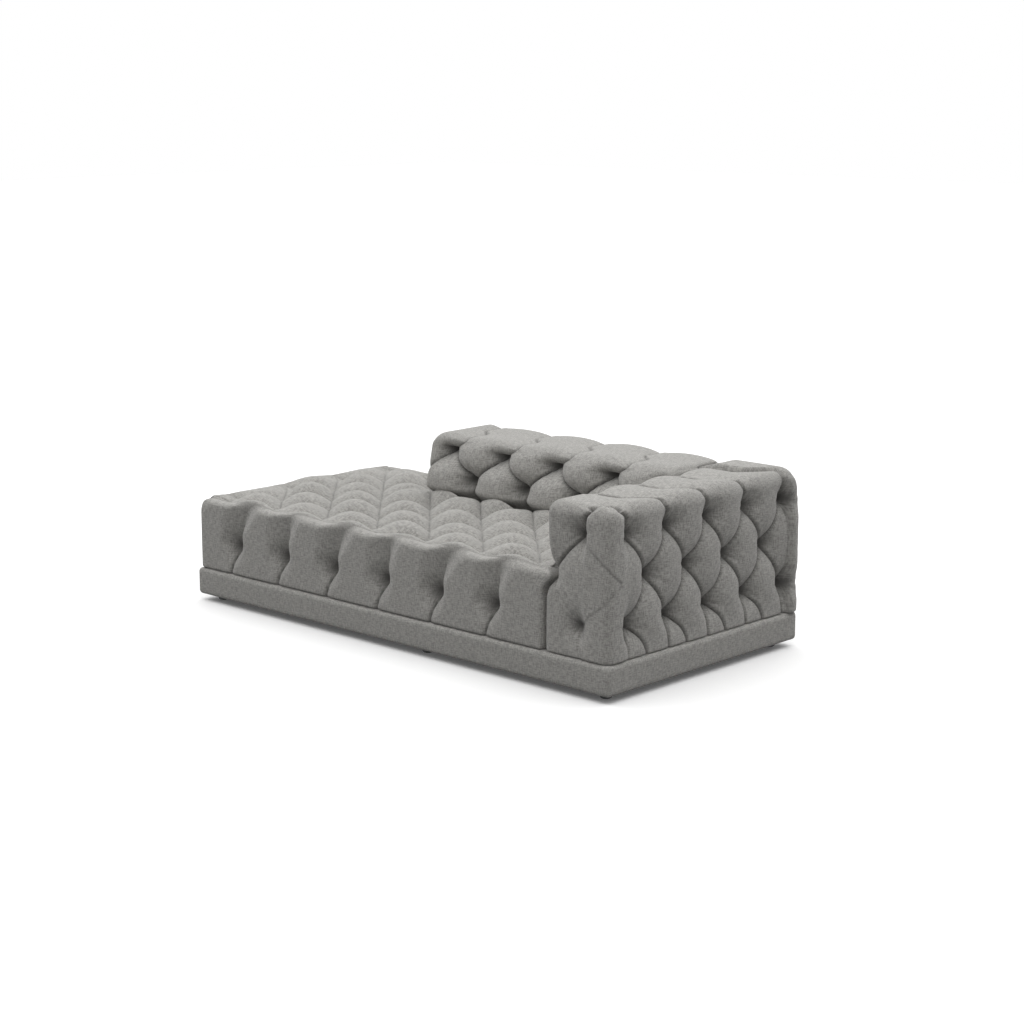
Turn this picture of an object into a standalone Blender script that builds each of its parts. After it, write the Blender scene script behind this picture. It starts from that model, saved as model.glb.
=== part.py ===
"""Deep-tufted chaise longue: an L-shaped seat, one full-depth arm and a part-length back on a covered plinth.

Metres, +Z up. The origin is on the floor, at the middle of the plinth. +X runs along the length to the arm,
+Y to the back. Heights named "above the plinth" count from the top of the deck, where the pads stand.
"""

import math

import bmesh
import bpy
from mathutils import Vector

# Overall sizes
LENGTH = 2.100  # over the plinth cover, along X
DEPTH = 1.030  # over the plinth cover, along Y
SEAT_HEIGHT = 0.310  # crown of the seat above the plinth
ARM_HEIGHT = 0.522  # crown of the arm and the back above the plinth
ARM_THICKNESS = 0.289
BACK_LENGTH = 1.203  # from its free end to the arm
BACK_THICKNESS = 0.402  # at its fullest, just above the seat
BACK_TUCK = 0.060  # how far its face tucks in behind the seat
BACK_TUCK_RISE = 0.038  # height over which it comes out again, from just below the seat's crown
BACK_TUCK_DROP = 0.010
BACK_LEAN = 0.080  # how far the top of its face leans back
PAD_INSET = 0.008  # the pads stand in from the plinth cover
GAP = 0.0003  # between pieces that touch
SEAM = 0.0006  # between pads that butt

# Tufts: pitch along a row, depth of the pits and of the pleats between them
SEAT_PITCH = 0.2685
SEAT_FIRST_TUFT = 0.189  # from the open end to the first column on the front
SEAT_TUFT_ROW = 0.107  # height of the row round the seat's sides, above the plinth
SEAT_TUFT_DEPTH = 0.050
SEAT_EDGE_DEPTH = 0.032  # where a pleat crosses the seat's top edge
SEAT_SIDE_DEPTH = 0.070
ARM_PITCH = 0.2095
ARM_FIRST_TUFT = 0.120  # from the front corner to the first column of the outer face
ARM_END_TUFT = 0.140  # from the outer corner to the column on the front end
ARM_ROWS = (0.109, 0.263, 0.412)  # heights of the rows on the arm and the back's rear, above the plinth
ARM_TUFT_DEPTH = 0.058
ARM_TOP_DEPTH = 0.030
BACK_FIRST_TUFT = 0.104  # from the free end to the first column of the upper row
BACK_ROWS = (0.363, 0.457)  # heights of the rows on the back's face, above the plinth
BACK_TUFT_DEPTH = 0.050
BACK_TOP_DEPTH = 0.024
FOOT_DEPTH = 0.012  # pleats where the pads meet the plinth
PLEAT_SHARE = 0.55  # depth halfway along a pleat, as a share of its tufts' depth
PLUMPNESS = 0.62  # lower is fuller
SEAT_EDGE_RADIUS = 0.050
ARM_EDGE_RADIUS = 0.056
BACK_EDGE_RADIUS = 0.056
EDGE_RING = 0.4  # extra cut in a rounded edge, as a share of its radius
LEAST_CUT = 0.012  # cuts nearer than this become one

# Walls of the pads between their faces and the hollows that take the frames
SEAT_PAD_WALL = 0.100
SEAT_PAD_TOP = 0.090
ARM_PAD_WALL = 0.082
ARM_PAD_TOP = 0.092
BACK_PAD_REAR = 0.085
BACK_PAD_END = 0.095
BACK_PAD_TOP = 0.092
BACK_CORE = 0.120  # thickness of the hollow in the back
CORE_FIT = 0.0005  # between a pad and the frame or foam it is pulled over

# Plinth
GLIDE_HEIGHT = 0.024
GLIDE_RADIUS = 0.020
GLIDE_CHAMFER = 0.004
GLIDE_NAIL_RADIUS = 0.0018
GLIDE_NAIL_LENGTH = 0.016
GLIDE_INSET = 0.028  # from the inner corner of the plinth rails
PLINTH_HEIGHT = 0.104
COVER_THICKNESS = 0.020
COVER_RADIUS = 0.018
DUST_COVER_THICKNESS = 0.0008
RAIL_THICKNESS = 0.022
CORNER_BLOCK = 0.090
DECK_THICKNESS = 0.018
VENT_RADIUS = 0.030
VENT_COUNT = 4

# Seat frame
SEAT_RAIL_THICKNESS = 0.025
SEAT_RAIL_HEIGHT = 0.090
STRAP_WIDTH = 0.060
STRAP_THICKNESS = 0.002
OPEN_STRAP_COUNT = 2  # in the full-depth part
SHELTERED_STRAP_COUNT = 5  # in front of the back

# Arm and back frames
PANEL_THICKNESS = 0.006
PANEL_HOLE_RADIUS = 0.080
POST_WIDTH = 0.045
FRAME_RAIL_HEIGHT = 0.035
BOLT_RADIUS = 0.004
BOLT_CLEARANCE = 0.0006
BOLT_REACH = 0.028  # into the bottom rail
BOLT_HEAD_RADIUS = 0.0065
BOLT_HEAD_HEIGHT = 0.008
BOLT_FLANGE_RADIUS = 0.010
BOLT_FLANGE_THICKNESS = 0.0025
TIMBER_CHAMFER = 0.002
OVERSHOOT = 0.010  # how far a cutter passes the face it opens

# Levels and planes that follow from the sizes
DECK_TOP = GLIDE_HEIGHT + PLINTH_HEIGHT
DECK_BOTTOM = DECK_TOP - DECK_THICKNESS
RAIL_BOTTOM = GLIDE_HEIGHT + DUST_COVER_THICKNESS + GAP
BASE = DECK_TOP + GAP  # underside of pads and frames
PAD_LEFT, PAD_RIGHT = PAD_INSET - LENGTH / 2, LENGTH / 2 - PAD_INSET
PAD_FRONT, PAD_REAR = PAD_INSET - DEPTH / 2, DEPTH / 2 - PAD_INSET
ARM_INNER = PAD_RIGHT - ARM_THICKNESS
BACK_LEFT = ARM_INNER - SEAM - BACK_LENGTH
BACK_FACE = PAD_REAR - BACK_THICKNESS
SEAT_RIGHT = ARM_INNER - SEAM
NOTCH_X = BACK_LEFT - SEAM
NOTCH_Y = BACK_FACE + BACK_TUCK - SEAM
INNER_X = LENGTH / 2 - COVER_THICKNESS
INNER_Y = DEPTH / 2 - COVER_THICKNESS

FINISHES = {
    "cover_fabric": ((0.36, 0.35, 0.33), 0.95, 0.0),
    "timber": ((0.55, 0.38, 0.20), 0.70, 0.0),
    "plywood": ((0.62, 0.46, 0.28), 0.70, 0.0),
    "foam": ((0.85, 0.80, 0.62), 0.95, 0.0),
    "webbing": ((0.12, 0.11, 0.10), 0.90, 0.0),
    "dust_cloth": ((0.02, 0.02, 0.02), 0.95, 0.0),
    "nylon": ((0.03, 0.03, 0.03), 0.50, 0.0),
    "steel": ((0.60, 0.60, 0.62), 0.35, 1.0),
}


def start_scene():
    """Empties the scene and returns the collections for the pieces and for their cutters."""
    for obj in list(bpy.data.objects):
        bpy.data.objects.remove(obj)
    pieces = bpy.data.collections.new("chaise_longue")
    cutters = bpy.data.collections.new("cutters")
    for collection in (pieces, cutters):
        bpy.context.scene.collection.children.link(collection)
    return pieces, cutters


PIECES, CUTTERS = start_scene()


def finish(name):
    """The material of that name, made when it is first asked for."""
    found = bpy.data.materials.get(name)
    if found:
        return found
    colour, roughness, metallic = FINISHES[name]
    made = bpy.data.materials.new(name)
    made.use_nodes = True
    shader = made.node_tree.nodes["Principled BSDF"]
    shader.inputs["Base Color"].default_value = (*colour, 1)
    shader.inputs["Roughness"].default_value = roughness
    shader.inputs["Metallic"].default_value = metallic
    return made


def placed(name, mesh, finish_name=None):
    """An object in the pieces' collection, or, with no finish, a hidden cutter."""
    obj = bpy.data.objects.new(name, mesh)
    if finish_name:
        mesh.materials.append(finish(finish_name))
        PIECES.objects.link(obj)
    else:
        obj.hide_render = True
        obj.display_type = "WIRE"
        CUTTERS.objects.link(obj)
    return obj


def mesh_of(bm, name):
    bmesh.ops.recalc_face_normals(bm, faces=bm.faces)
    mesh = bpy.data.meshes.new(name)
    bm.to_mesh(mesh)
    bm.free()
    return mesh


def block(low, high):
    """A plain box between two corners."""
    bm = bmesh.new()
    bmesh.ops.create_cube(bm, size=1)
    low, high = Vector(low), Vector(high)
    for vert in bm.verts:
        vert.co = (low + high) / 2 + vert.co * (high - low)
    return bm


def box(name, low, high, finish_name, chamfer=TIMBER_CHAMFER):
    obj = placed(name, mesh_of(block(low, high), name), finish_name)
    if chamfer:
        bevel = obj.modifiers.new("Chamfer", "BEVEL")
        bevel.width = chamfer
        bevel.segments = 1
    return obj


def cut(obj, cutter):
    boolean = obj.modifiers.new("Cut", "BOOLEAN")
    boolean.operation = "DIFFERENCE"
    boolean.object = cutter
    return obj


def cut_block(name, low, high):
    return placed(f"cut_{name}", mesh_of(block(low, high), name))


def cut_hole(name, middle, radius, length, axis, sides=12):
    """A round cutter about a point, lying along an axis."""
    bm = bmesh.new()
    bmesh.ops.create_cone(bm, cap_ends=True, segments=sides, radius1=radius, radius2=radius, depth=length)
    obj = placed(f"cut_{name}", mesh_of(bm, name))
    obj.location = middle
    obj.rotation_euler = {"X": (0, math.pi / 2, 0), "Y": (math.pi / 2, 0, 0), "Z": (0, 0, 0)}[axis]
    return obj


def turned(name, profile, place, finish_name, steps=16):
    """A solid turned about Z. Its profile of (radius, height) runs down the outer side from the axis."""
    mesh = bpy.data.meshes.new(name)
    mesh.from_pydata([(r, 0, z) for r, z in profile], [(i, i + 1) for i in range(len(profile) - 1)], [])
    obj = placed(name, mesh, finish_name)
    obj.location = place
    screw = obj.modifiers.new("Turn", "SCREW")
    screw.steps = screw.render_steps = steps
    screw.use_merge_vertices = True
    screw.merge_threshold = 0.00001
    return obj


def l_block(low, high, notch_x, notch_y):
    """A box without its far right corner, made as the full-depth part with the rest drawn out of its side."""
    bm = block(low, (notch_x, high[1], high[2]))
    bmesh.ops.bisect_plane(
        bm, geom=[*bm.verts, *bm.edges, *bm.faces], plane_co=(0, notch_y, 0), plane_no=(0, 1, 0), dist=1e-6
    )
    bm.normal_update()
    side = [f for f in bm.faces if f.normal.x > 0.9 and f.calc_center_median().y < notch_y]
    drawn = bmesh.ops.extrude_face_region(bm, geom=side)["geom"]
    bmesh.ops.delete(bm, geom=side, context="FACES_ONLY")
    verts = [item for item in drawn if isinstance(item, bmesh.types.BMVert)]
    bmesh.ops.translate(bm, vec=(high[0] - notch_x, 0, 0), verts=verts)
    bmesh.ops.recalc_face_normals(bm, faces=bm.faces)
    return bm


def between(value, points):
    """A height read from a line through (place, height) points, level past its ends."""
    if value <= points[0][0]:
        return points[0][1]
    for (a, at_a), (b, at_b) in zip(points, points[1:]):
        if value <= b:
            return at_a + (at_b - at_a) * (value - a) / (b - a)
    return points[-1][1]


def limited(value, low, high):
    return max(low, min(high, value))


def eased(value):
    """0 to 1, with level ends."""
    value = limited(value, 0, 1)
    return value * value * (3 - 2 * value)


def cut_places(low, high, *lists):
    """Places to cut between two faces. Earlier lists win where two places are close."""
    kept = []
    for place in (place for places in lists for place in places):
        clear = low + LEAST_CUT < place < high - LEAST_CUT
        if clear and all(abs(place - other) > LEAST_CUT for other in kept):
            kept.append(place)
    return kept


def steps_from(start, step, low, high):
    """Every place a whole number of steps from the start, between two faces."""
    first = math.ceil((low - start) / step)
    last = math.floor((high - start) / step)
    return [start + step * i for i in range(first, last + 1)]


def edge_cuts(low, high, radius):
    """Cuts that give a rounded edge its shape, at both faces."""
    insets = (radius, radius * EDGE_RING)
    return [low + inset for inset in insets] + [high - inset for inset in insets]


def slice_block(bm, axis, places):
    """Cuts every face but the underside at these places along an axis."""
    normal = Vector([float(i == axis) for i in range(3)])
    for place in places:
        bm.normal_update()
        faces = [f for f in bm.faces if f.normal.z > -0.5]
        bmesh.ops.bisect_plane(
            bm, geom=[*bm.verts, *bm.edges, *faces], plane_co=normal * place, plane_no=normal, dist=1e-6
        )


def rounded(point, cores, radius):
    """Where a point of the block lies once the edges are rounded, and which way the pad faces there."""
    nearest = None
    for low, high in cores:
        inside = Vector([limited(point[i], low[i], high[i]) for i in range(3)])
        if nearest is None or (point - inside).length < (point - nearest).length:
            nearest = inside
    normal = (point - nearest).normalized()
    return nearest + radius * normal, normal


def core(low, high, radius):
    """The middle of a block whose top and upright edges get this radius."""
    inset = Vector((radius, radius, radius))
    low, high = Vector(low) + inset, Vector(high) - inset
    low.z = -1.0
    return low, high


def sunk(u, v, deep):
    """Depth below the crown at a place on the pattern. Tufts lie where u and v are whole with an even sum."""
    a, b = (u + v) / 2, (u - v) / 2
    along = (1 - (2 * (a - math.floor(a)) - 1) ** 2) ** PLUMPNESS
    across = (1 - (2 * (b - math.floor(b)) - 1) ** 2) ** PLUMPNESS
    shallow = deep * PLEAT_SHARE
    return deep - (deep - shallow) * (along + across - along * across) - shallow * along * across


def split_along_pleats(bm, depth):
    """Halves each four-sided face along its deeper diagonal, so that pleats stay straight."""
    for face in [f for f in bm.faces if len(f.verts) == 4]:
        a, b, c, d = face.verts
        ends = (a, c) if depth[a] + depth[c] > depth[b] + depth[d] else (b, d)
        bmesh.utils.face_split(face, *ends)


def tufted(name, bm, cores, radius, depth_at, hollow, shift=None):
    """A pad: a cut-up block with rounded edges, drawn in by its tufts, over a plain hollow for its frame."""
    depth = {}
    for vert in bm.verts:
        depth[vert] = depth_at(vert.co)
        place, normal = rounded(vert.co, cores, radius)
        place = place - normal * depth[vert]
        vert.co = place + Vector((0, shift(place), 0)) if shift else place
    split_along_pleats(bm, depth)
    pad = placed(name, mesh_of(bm, name), "cover_fabric")
    return cut(pad, hollow)


def seat_depth(point):
    """Pits in diamonds on top, straight pleats down the sides through one row of tufts."""
    half = SEAT_PITCH / 2
    column = PAD_LEFT + SEAT_FIRST_TUFT
    u_low = math.ceil((PAD_LEFT - column) / half + 0.2)
    u_high = round((SEAT_RIGHT - column) / half)
    v_high = math.floor((PAD_REAR - PAD_FRONT) / half - 0.2)
    u = limited((point.x - column) / half, u_low, u_high)
    v = limited((point.y - PAD_FRONT) / half, 0, v_high)
    inward = min(point.x - PAD_LEFT, point.y - PAD_FRONT, PAD_REAR - point.y)
    on_top = SEAT_EDGE_DEPTH + (SEAT_TUFT_DEPTH - SEAT_EDGE_DEPTH) * eased(inward / half)
    crown = BASE + SEAT_HEIGHT
    on_side = between(
        point.z,
        (
            (BASE, FOOT_DEPTH),
            (BASE + SEAT_TUFT_ROW, SEAT_SIDE_DEPTH),
            (crown - SEAT_EDGE_RADIUS, SEAT_EDGE_DEPTH),
        ),
    )
    beside_back = point.x > NOTCH_X - LEAST_CUT and point.y > NOTCH_Y - LEAST_CUT
    if beside_back or point.x > SEAT_RIGHT - LEAST_CUT:
        on_side = min(on_side, FOOT_DEPTH)
    return sunk(u, v, on_top if point.z > crown - LEAST_CUT / 2 else on_side)


def row_place(height, rows):
    """Place among three rows: -1, 0 and 1 at the rows, and level past the outer two."""
    return between(height, [(BASE + row, i - 1) for i, row in enumerate(rows)])


def past_rows(height, rows, foot, deep, top):
    """Pleat depth that is full between the outer rows, and eases to the foot's and the top's beyond them."""
    points = [(BASE, foot), (BASE + rows[0], deep), (BASE + rows[-1], deep)]
    return between(height, [*points, (BASE + rows[-1] + ARM_EDGE_RADIUS, top)])


def arm_depth(point):
    """Diamonds that wrap from the outer face round both ends, and straight pleats over the top."""
    half = ARM_PITCH / 2
    crown = BASE + ARM_HEIGHT
    from_front, from_outer = point.y - PAD_FRONT, PAD_RIGHT - point.x
    along = from_front / ARM_FIRST_TUFT
    if from_front > ARM_FIRST_TUFT:
        along = 1 + (from_front - ARM_FIRST_TUFT) / half
    u = max(along, from_outer / ARM_END_TUFT)
    if from_front > DEPTH / 2:
        u = along
    if point.y > PAD_REAR - LEAST_CUT:
        u += from_outer / half * eased((crown - point.z) / ARM_PITCH)
    outward = eased(1 - from_front / ARM_PITCH) if from_outer > ARM_THICKNESS - LEAST_CUT else 1.0
    v = 1 + (row_place(point.z, ARM_ROWS) - 1) * outward
    deep = past_rows(point.z, ARM_ROWS, FOOT_DEPTH, ARM_TUFT_DEPTH, ARM_TOP_DEPTH)
    return sunk(u, v, min(deep, ARM_TOP_DEPTH + (ARM_TUFT_DEPTH - ARM_TOP_DEPTH) * outward))


def back_depth(point):
    """Two staggered rows on the face, straight pleats over the top, three rows on the rear and free end."""
    half = SEAT_PITCH / 2
    crown = BASE + ARM_HEIGHT
    from_face, from_end = point.y - BACK_FACE, point.x - BACK_LEFT
    u = 1 + (from_end - BACK_FIRST_TUFT) / half
    if from_end < LEAST_CUT:
        u -= from_face / half * eased((crown - point.z) / half)
    rearward = eased(from_face / BACK_THICKNESS)
    face_v = between(point.z, [(BASE + row, i) for i, row in enumerate(BACK_ROWS)])
    v = face_v + (row_place(point.z, ARM_ROWS) - face_v) * rearward
    face_deep = past_rows(point.z, BACK_ROWS, FOOT_DEPTH, BACK_TUFT_DEPTH, BACK_TOP_DEPTH)
    rear_deep = past_rows(point.z, ARM_ROWS, FOOT_DEPTH, BACK_TUFT_DEPTH, BACK_TOP_DEPTH)
    deep = face_deep + (rear_deep - face_deep) * rearward
    if from_end > BACK_LENGTH - LEAST_CUT:
        deep = min(deep, FOOT_DEPTH)
    return sunk(u, v, deep)


def back_slope(point):
    """How far the back's face lies rearward at this height: tucked behind the seat, leaning at the top."""
    tucked = BASE + SEAT_HEIGHT - BACK_TUCK_DROP
    section = (
        (tucked, BACK_TUCK),
        (tucked + BACK_TUCK_RISE, 0.0),
        (BASE + BACK_ROWS[0], 0.0),
        (BASE + ARM_HEIGHT, BACK_LEAN),
    )
    return between(point.z, section) * eased(1 - (point.y - BACK_FACE) / BACK_THICKNESS)


def make_seat_pad():
    low, high = (PAD_LEFT, PAD_FRONT, BASE), (SEAT_RIGHT, PAD_REAR, BASE + SEAT_HEIGHT)
    quarter = SEAT_PITCH / 4
    columns = steps_from(PAD_LEFT + SEAT_FIRST_TUFT, quarter, low[0], high[0])
    rows = steps_from(PAD_FRONT, quarter, low[1], high[1])
    heights = [BASE + SEAT_TUFT_ROW, BASE + SEAT_TUFT_ROW / 2]
    radius = SEAT_EDGE_RADIUS
    bm = l_block(low, high, NOTCH_X, NOTCH_Y)
    slice_block(bm, 0, cut_places(low[0], high[0], [NOTCH_X], columns, edge_cuts(low[0], high[0], radius)))
    slice_block(bm, 1, cut_places(low[1], high[1], [NOTCH_Y], rows, edge_cuts(low[1], high[1], radius)))
    slice_block(bm, 2, cut_places(low[2], high[2], heights, edge_cuts(low[2], high[2], radius)[2:]))
    cores = [
        core(low, (NOTCH_X, high[1], high[2]), radius),
        core(low, (high[0], NOTCH_Y, high[2]), radius),
    ]
    wall = SEAT_PAD_WALL
    hollow = l_block(
        (low[0] + wall, low[1] + wall, BASE - OVERSHOOT),
        (high[0] - wall, high[1] - wall, high[2] - SEAT_PAD_TOP),
        NOTCH_X - wall,
        NOTCH_Y - wall,
    )
    cutter = placed("cut_seat_hollow", mesh_of(hollow, "seat_hollow"))
    return tufted("seat_pad", bm, cores, radius, seat_depth, cutter)


def halves(places):
    """The places, and those halfway between neighbours."""
    return [*places, *((a + b) / 2 for a, b in zip(places, places[1:]))]


def make_arm_pad():
    low, high = (ARM_INNER, PAD_FRONT, BASE), (PAD_RIGHT, PAD_REAR, BASE + ARM_HEIGHT)
    columns = steps_from(PAD_FRONT + ARM_FIRST_TUFT, ARM_PITCH / 4, low[1] + ARM_FIRST_TUFT / 2, high[1])
    across = halves([PAD_RIGHT, PAD_RIGHT - ARM_END_TUFT, ARM_INNER])
    heights = halves([BASE, *(BASE + row for row in ARM_ROWS)])
    radius = ARM_EDGE_RADIUS
    bm = block(low, high)
    slice_block(bm, 0, cut_places(low[0], high[0], across, edge_cuts(low[0], high[0], radius)))
    slice_block(bm, 1, cut_places(low[1], high[1], columns, edge_cuts(low[1], high[1], radius)))
    slice_block(bm, 2, cut_places(low[2], high[2], heights, edge_cuts(low[2], high[2], radius)[2:]))
    hollow_low, hollow_high = arm_hollow()
    hollow = cut_block("arm_hollow", (*hollow_low[:2], BASE - OVERSHOOT), hollow_high)
    return tufted("arm_pad", bm, [core(low, high, radius)], radius, arm_depth, hollow)


def make_back_pad():
    low, high = (BACK_LEFT, BACK_FACE, BASE), (ARM_INNER - SEAM, PAD_REAR, BASE + ARM_HEIGHT)
    columns = steps_from(BACK_LEFT + BACK_FIRST_TUFT, SEAT_PITCH / 4, low[0], high[0])
    across = halves(halves([BACK_FACE, PAD_REAR]))
    face_heights = halves([BASE + SEAT_HEIGHT, *(BASE + row for row in BACK_ROWS)])
    rear_heights = halves([BASE + row for row in ARM_ROWS])
    radius = BACK_EDGE_RADIUS
    bm = block(low, high)
    slice_block(bm, 0, cut_places(low[0], high[0], columns, edge_cuts(low[0], high[0], radius)))
    slice_block(bm, 1, cut_places(low[1], high[1], across, edge_cuts(low[1], high[1], radius)))
    levels = cut_places(low[2], high[2], face_heights, rear_heights, edge_cuts(low[2], high[2], radius)[2:])
    slice_block(bm, 2, levels)
    hollow_low, hollow_high = back_hollow()
    hollow = cut_block("back_hollow", (*hollow_low[:2], BASE - OVERSHOOT), hollow_high)
    return tufted("back_pad", bm, [core(low, high, radius)], radius, back_depth, hollow, back_slope)


def arm_hollow():
    """The hollow in the arm pad, from the deck up."""
    low = (ARM_INNER + ARM_PAD_WALL, PAD_FRONT + ARM_PAD_WALL, BASE)
    return low, (PAD_RIGHT - ARM_PAD_WALL, PAD_REAR - ARM_PAD_WALL, BASE + ARM_HEIGHT - ARM_PAD_TOP)


def back_hollow():
    """The hollow in the back pad, from the deck up."""
    rear = PAD_REAR - BACK_PAD_REAR
    low = (BACK_LEFT + BACK_PAD_END, rear - BACK_CORE, BASE)
    return low, (ARM_INNER - SEAM - BACK_PAD_END, rear, BASE + ARM_HEIGHT - BACK_PAD_TOP)


def make_panelled_frame(name, hollow, run, panel_names):
    """Two rails and three posts between plywood panels, filling a pad's hollow along axis run."""
    low = Vector(hollow[0]) + Vector((CORE_FIT, CORE_FIT, 0))
    high = Vector(hollow[1]) - Vector((CORE_FIT, CORE_FIT, CORE_FIT))
    across = 1 - run
    timber = (low[across] + PANEL_THICKNESS + GAP, high[across] - PANEL_THICKNESS - GAP)
    lower = low.z + FRAME_RAIL_HEIGHT
    upper = high.z - FRAME_RAIL_HEIGHT

    def piece(part, along, thick, tall, finish_name):
        corners = [[0, 0, tall[0]], [0, 0, tall[1]]]
        for corner, a, t in zip(corners, along, thick):
            corner[run], corner[across] = a, t
        return box(f"{name}_{part}", *corners, finish_name)

    whole = (low[run], high[run])
    bottom = piece("bottom_rail", whole, timber, (low.z, lower), "timber")
    piece("top_rail", whole, timber, (upper, high.z), "timber")
    middle = (low[run] + high[run]) / 2
    starts = (low[run], middle - POST_WIDTH / 2, high[run] - POST_WIDTH)
    for i, start in enumerate(starts):
        piece(f"post_{i + 1}", (start, start + POST_WIDTH), timber, (lower + GAP, upper - GAP), "timber")
    sides = ((low[across], low[across] + PANEL_THICKNESS), (high[across] - PANEL_THICKNESS, high[across]))
    panels = [piece(n, whole, side, (low.z, high.z), "plywood") for n, side in zip(panel_names, sides)]
    bolts = []
    for i, start in enumerate(starts[:2]):
        bay = Vector(((low.x + high.x) / 2, (low.y + high.y) / 2, (low.z + high.z) / 2))
        bay[run] = (start + POST_WIDTH + starts[i + 1]) / 2
        through = high[across] - low[across] + OVERSHOOT
        hole = cut_hole(f"{name}_panel_{i + 1}", bay, PANEL_HOLE_RADIUS, through, "YX"[run], 16)
        for panel in panels:
            cut(panel, hole)
        bolts.append((bottom, bay.x, bay.y))
    return bolts


def make_bolts(seats, deck):
    """Flanged bolts from under the deck into the bottom rails of the arm and the back."""
    under = DECK_BOTTOM - GAP
    tip = BASE + BOLT_REACH
    profile = (
        (0, tip),
        (BOLT_RADIUS, tip),
        (BOLT_RADIUS, under),
        (BOLT_FLANGE_RADIUS, under),
        (BOLT_FLANGE_RADIUS, under - BOLT_FLANGE_THICKNESS),
        (BOLT_HEAD_RADIUS, under - BOLT_FLANGE_THICKNESS),
        (BOLT_HEAD_RADIUS, under - BOLT_HEAD_HEIGHT),
        (0, under - BOLT_HEAD_HEIGHT),
    )
    bottom, top = under - OVERSHOOT, tip + BOLT_CLEARANCE
    for i, (rail, x, y) in enumerate(seats):
        hole = cut_hole(
            f"bolt_{i + 1}", (x, y, (bottom + top) / 2), BOLT_RADIUS + BOLT_CLEARANCE, top - bottom, "Z"
        )
        cut(deck, hole)
        cut(rail, hole)
        turned(f"frame_bolt_{i + 1}", profile, (x, y, 0), "steel", 12)


def make_seat_frame():
    """An L of rails on the deck, straps over it, and the firm foam core on the straps."""
    inset = SEAT_PAD_WALL + CORE_FIT
    left, right, step = PAD_LEFT + inset, SEAT_RIGHT - inset, NOTCH_X - inset
    front, rear, inner = PAD_FRONT + inset, PAD_REAR - inset, NOTCH_Y - inset
    t = SEAT_RAIL_THICKNESS
    top = BASE + SEAT_RAIL_HEIGHT
    rails = {
        "front": ((left, right), (front, front + t)),
        "left": ((left, left + t), (front + t + GAP, rear - t - GAP)),
        "rear": ((left, step), (rear - t, rear)),
        "step": ((step - t, step), (inner + GAP, rear - t - GAP)),
        "inner": ((step - t, right), (inner - t, inner)),
        "right": ((right - t, right), (front + t + GAP, inner - t - GAP)),
    }
    for name, (xs, ys) in rails.items():
        box(f"seat_{name}_rail", (xs[0], ys[0], BASE), (xs[1], ys[1], top), "timber")
    straps = [(x, rear) for x in evenly(left + t, step - t, OPEN_STRAP_COUNT)]
    straps += [(x, inner) for x in evenly(step, right - t, SHELTERED_STRAP_COUNT)]
    strap_low = top + GAP
    strap_top = strap_low + STRAP_THICKNESS
    for i, (x, end) in enumerate(straps):
        low = (x - STRAP_WIDTH / 2, front, strap_low)
        box(f"webbing_strap_{i + 1}", low, (x + STRAP_WIDTH / 2, end, strap_top), "webbing", 0)
    foam_top = BASE + SEAT_HEIGHT - SEAT_PAD_TOP - CORE_FIT
    foam = l_block((left, front, strap_top + GAP), (right, rear, foam_top), step, inner)
    placed("seat_foam", mesh_of(foam, "seat_foam"), "foam")


def evenly(low, high, count):
    """Middles of equal bays between two places."""
    return [low + (high - low) * (i + 0.5) / count for i in range(count)]


def make_plinth():
    """Rails, cross rails, corner blocks, deck, covers and glides. Returns the deck, for the bolts' holes."""
    t = RAIL_THICKNESS
    x, y = INNER_X - GAP, INNER_Y - GAP
    low, high = RAIL_BOTTOM, DECK_BOTTOM - GAP
    box("plinth_front_rail", (-x, -y, low), (x, t - y, high), "timber")
    box("plinth_rear_rail", (-x, y - t, low), (x, y, high), "timber")
    box("plinth_left_rail", (-x, t - y + GAP, low), (t - x, y - t - GAP, high), "timber")
    box("plinth_right_rail", (x - t, t - y + GAP, low), (x, y - t - GAP, high), "timber")
    inside_x, inside_y = x - t - GAP, y - t - GAP
    middle = (BACK_LEFT + ARM_INNER) / 2
    crosses = []
    for i, place in enumerate((BACK_LEFT, middle, ARM_INNER)):
        lows, highs = (place - t / 2, -inside_y, low), (place + t / 2, inside_y, high)
        crosses.append(box(f"plinth_cross_rail_{i + 1}", lows, highs, "timber"))
    deck = box("deck_panel", (-x, -y, DECK_BOTTOM), (x, y, DECK_TOP), "plywood", 0)
    for i, place in enumerate(evenly(PAD_LEFT + SEAT_PAD_WALL, SEAT_RIGHT - SEAT_PAD_WALL, VENT_COUNT)):
        vent = (place, (PAD_FRONT + NOTCH_Y) / 2, (DECK_BOTTOM + DECK_TOP) / 2)
        cut(deck, cut_hole(f"vent_{i + 1}", vent, VENT_RADIUS, DECK_THICKNESS + 2 * OVERSHOOT, "Z", 16))
    under = [(make_corner_block(i, sx, sy, inside_x, inside_y), sx, sy) for i, (sx, sy) in enumerate(CORNERS)]
    seats = [
        (piece, sx * (inside_x - GLIDE_INSET), sy * (inside_y - GLIDE_INSET)) for piece, sx, sy in under
    ]
    seats += [(crosses[1], middle, sy * (inside_y - GLIDE_INSET)) for sy in (-1, 1)]
    make_covers(seats)
    return deck


CORNERS = ((-1, -1), (1, -1), (-1, 1), (1, 1))


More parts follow.
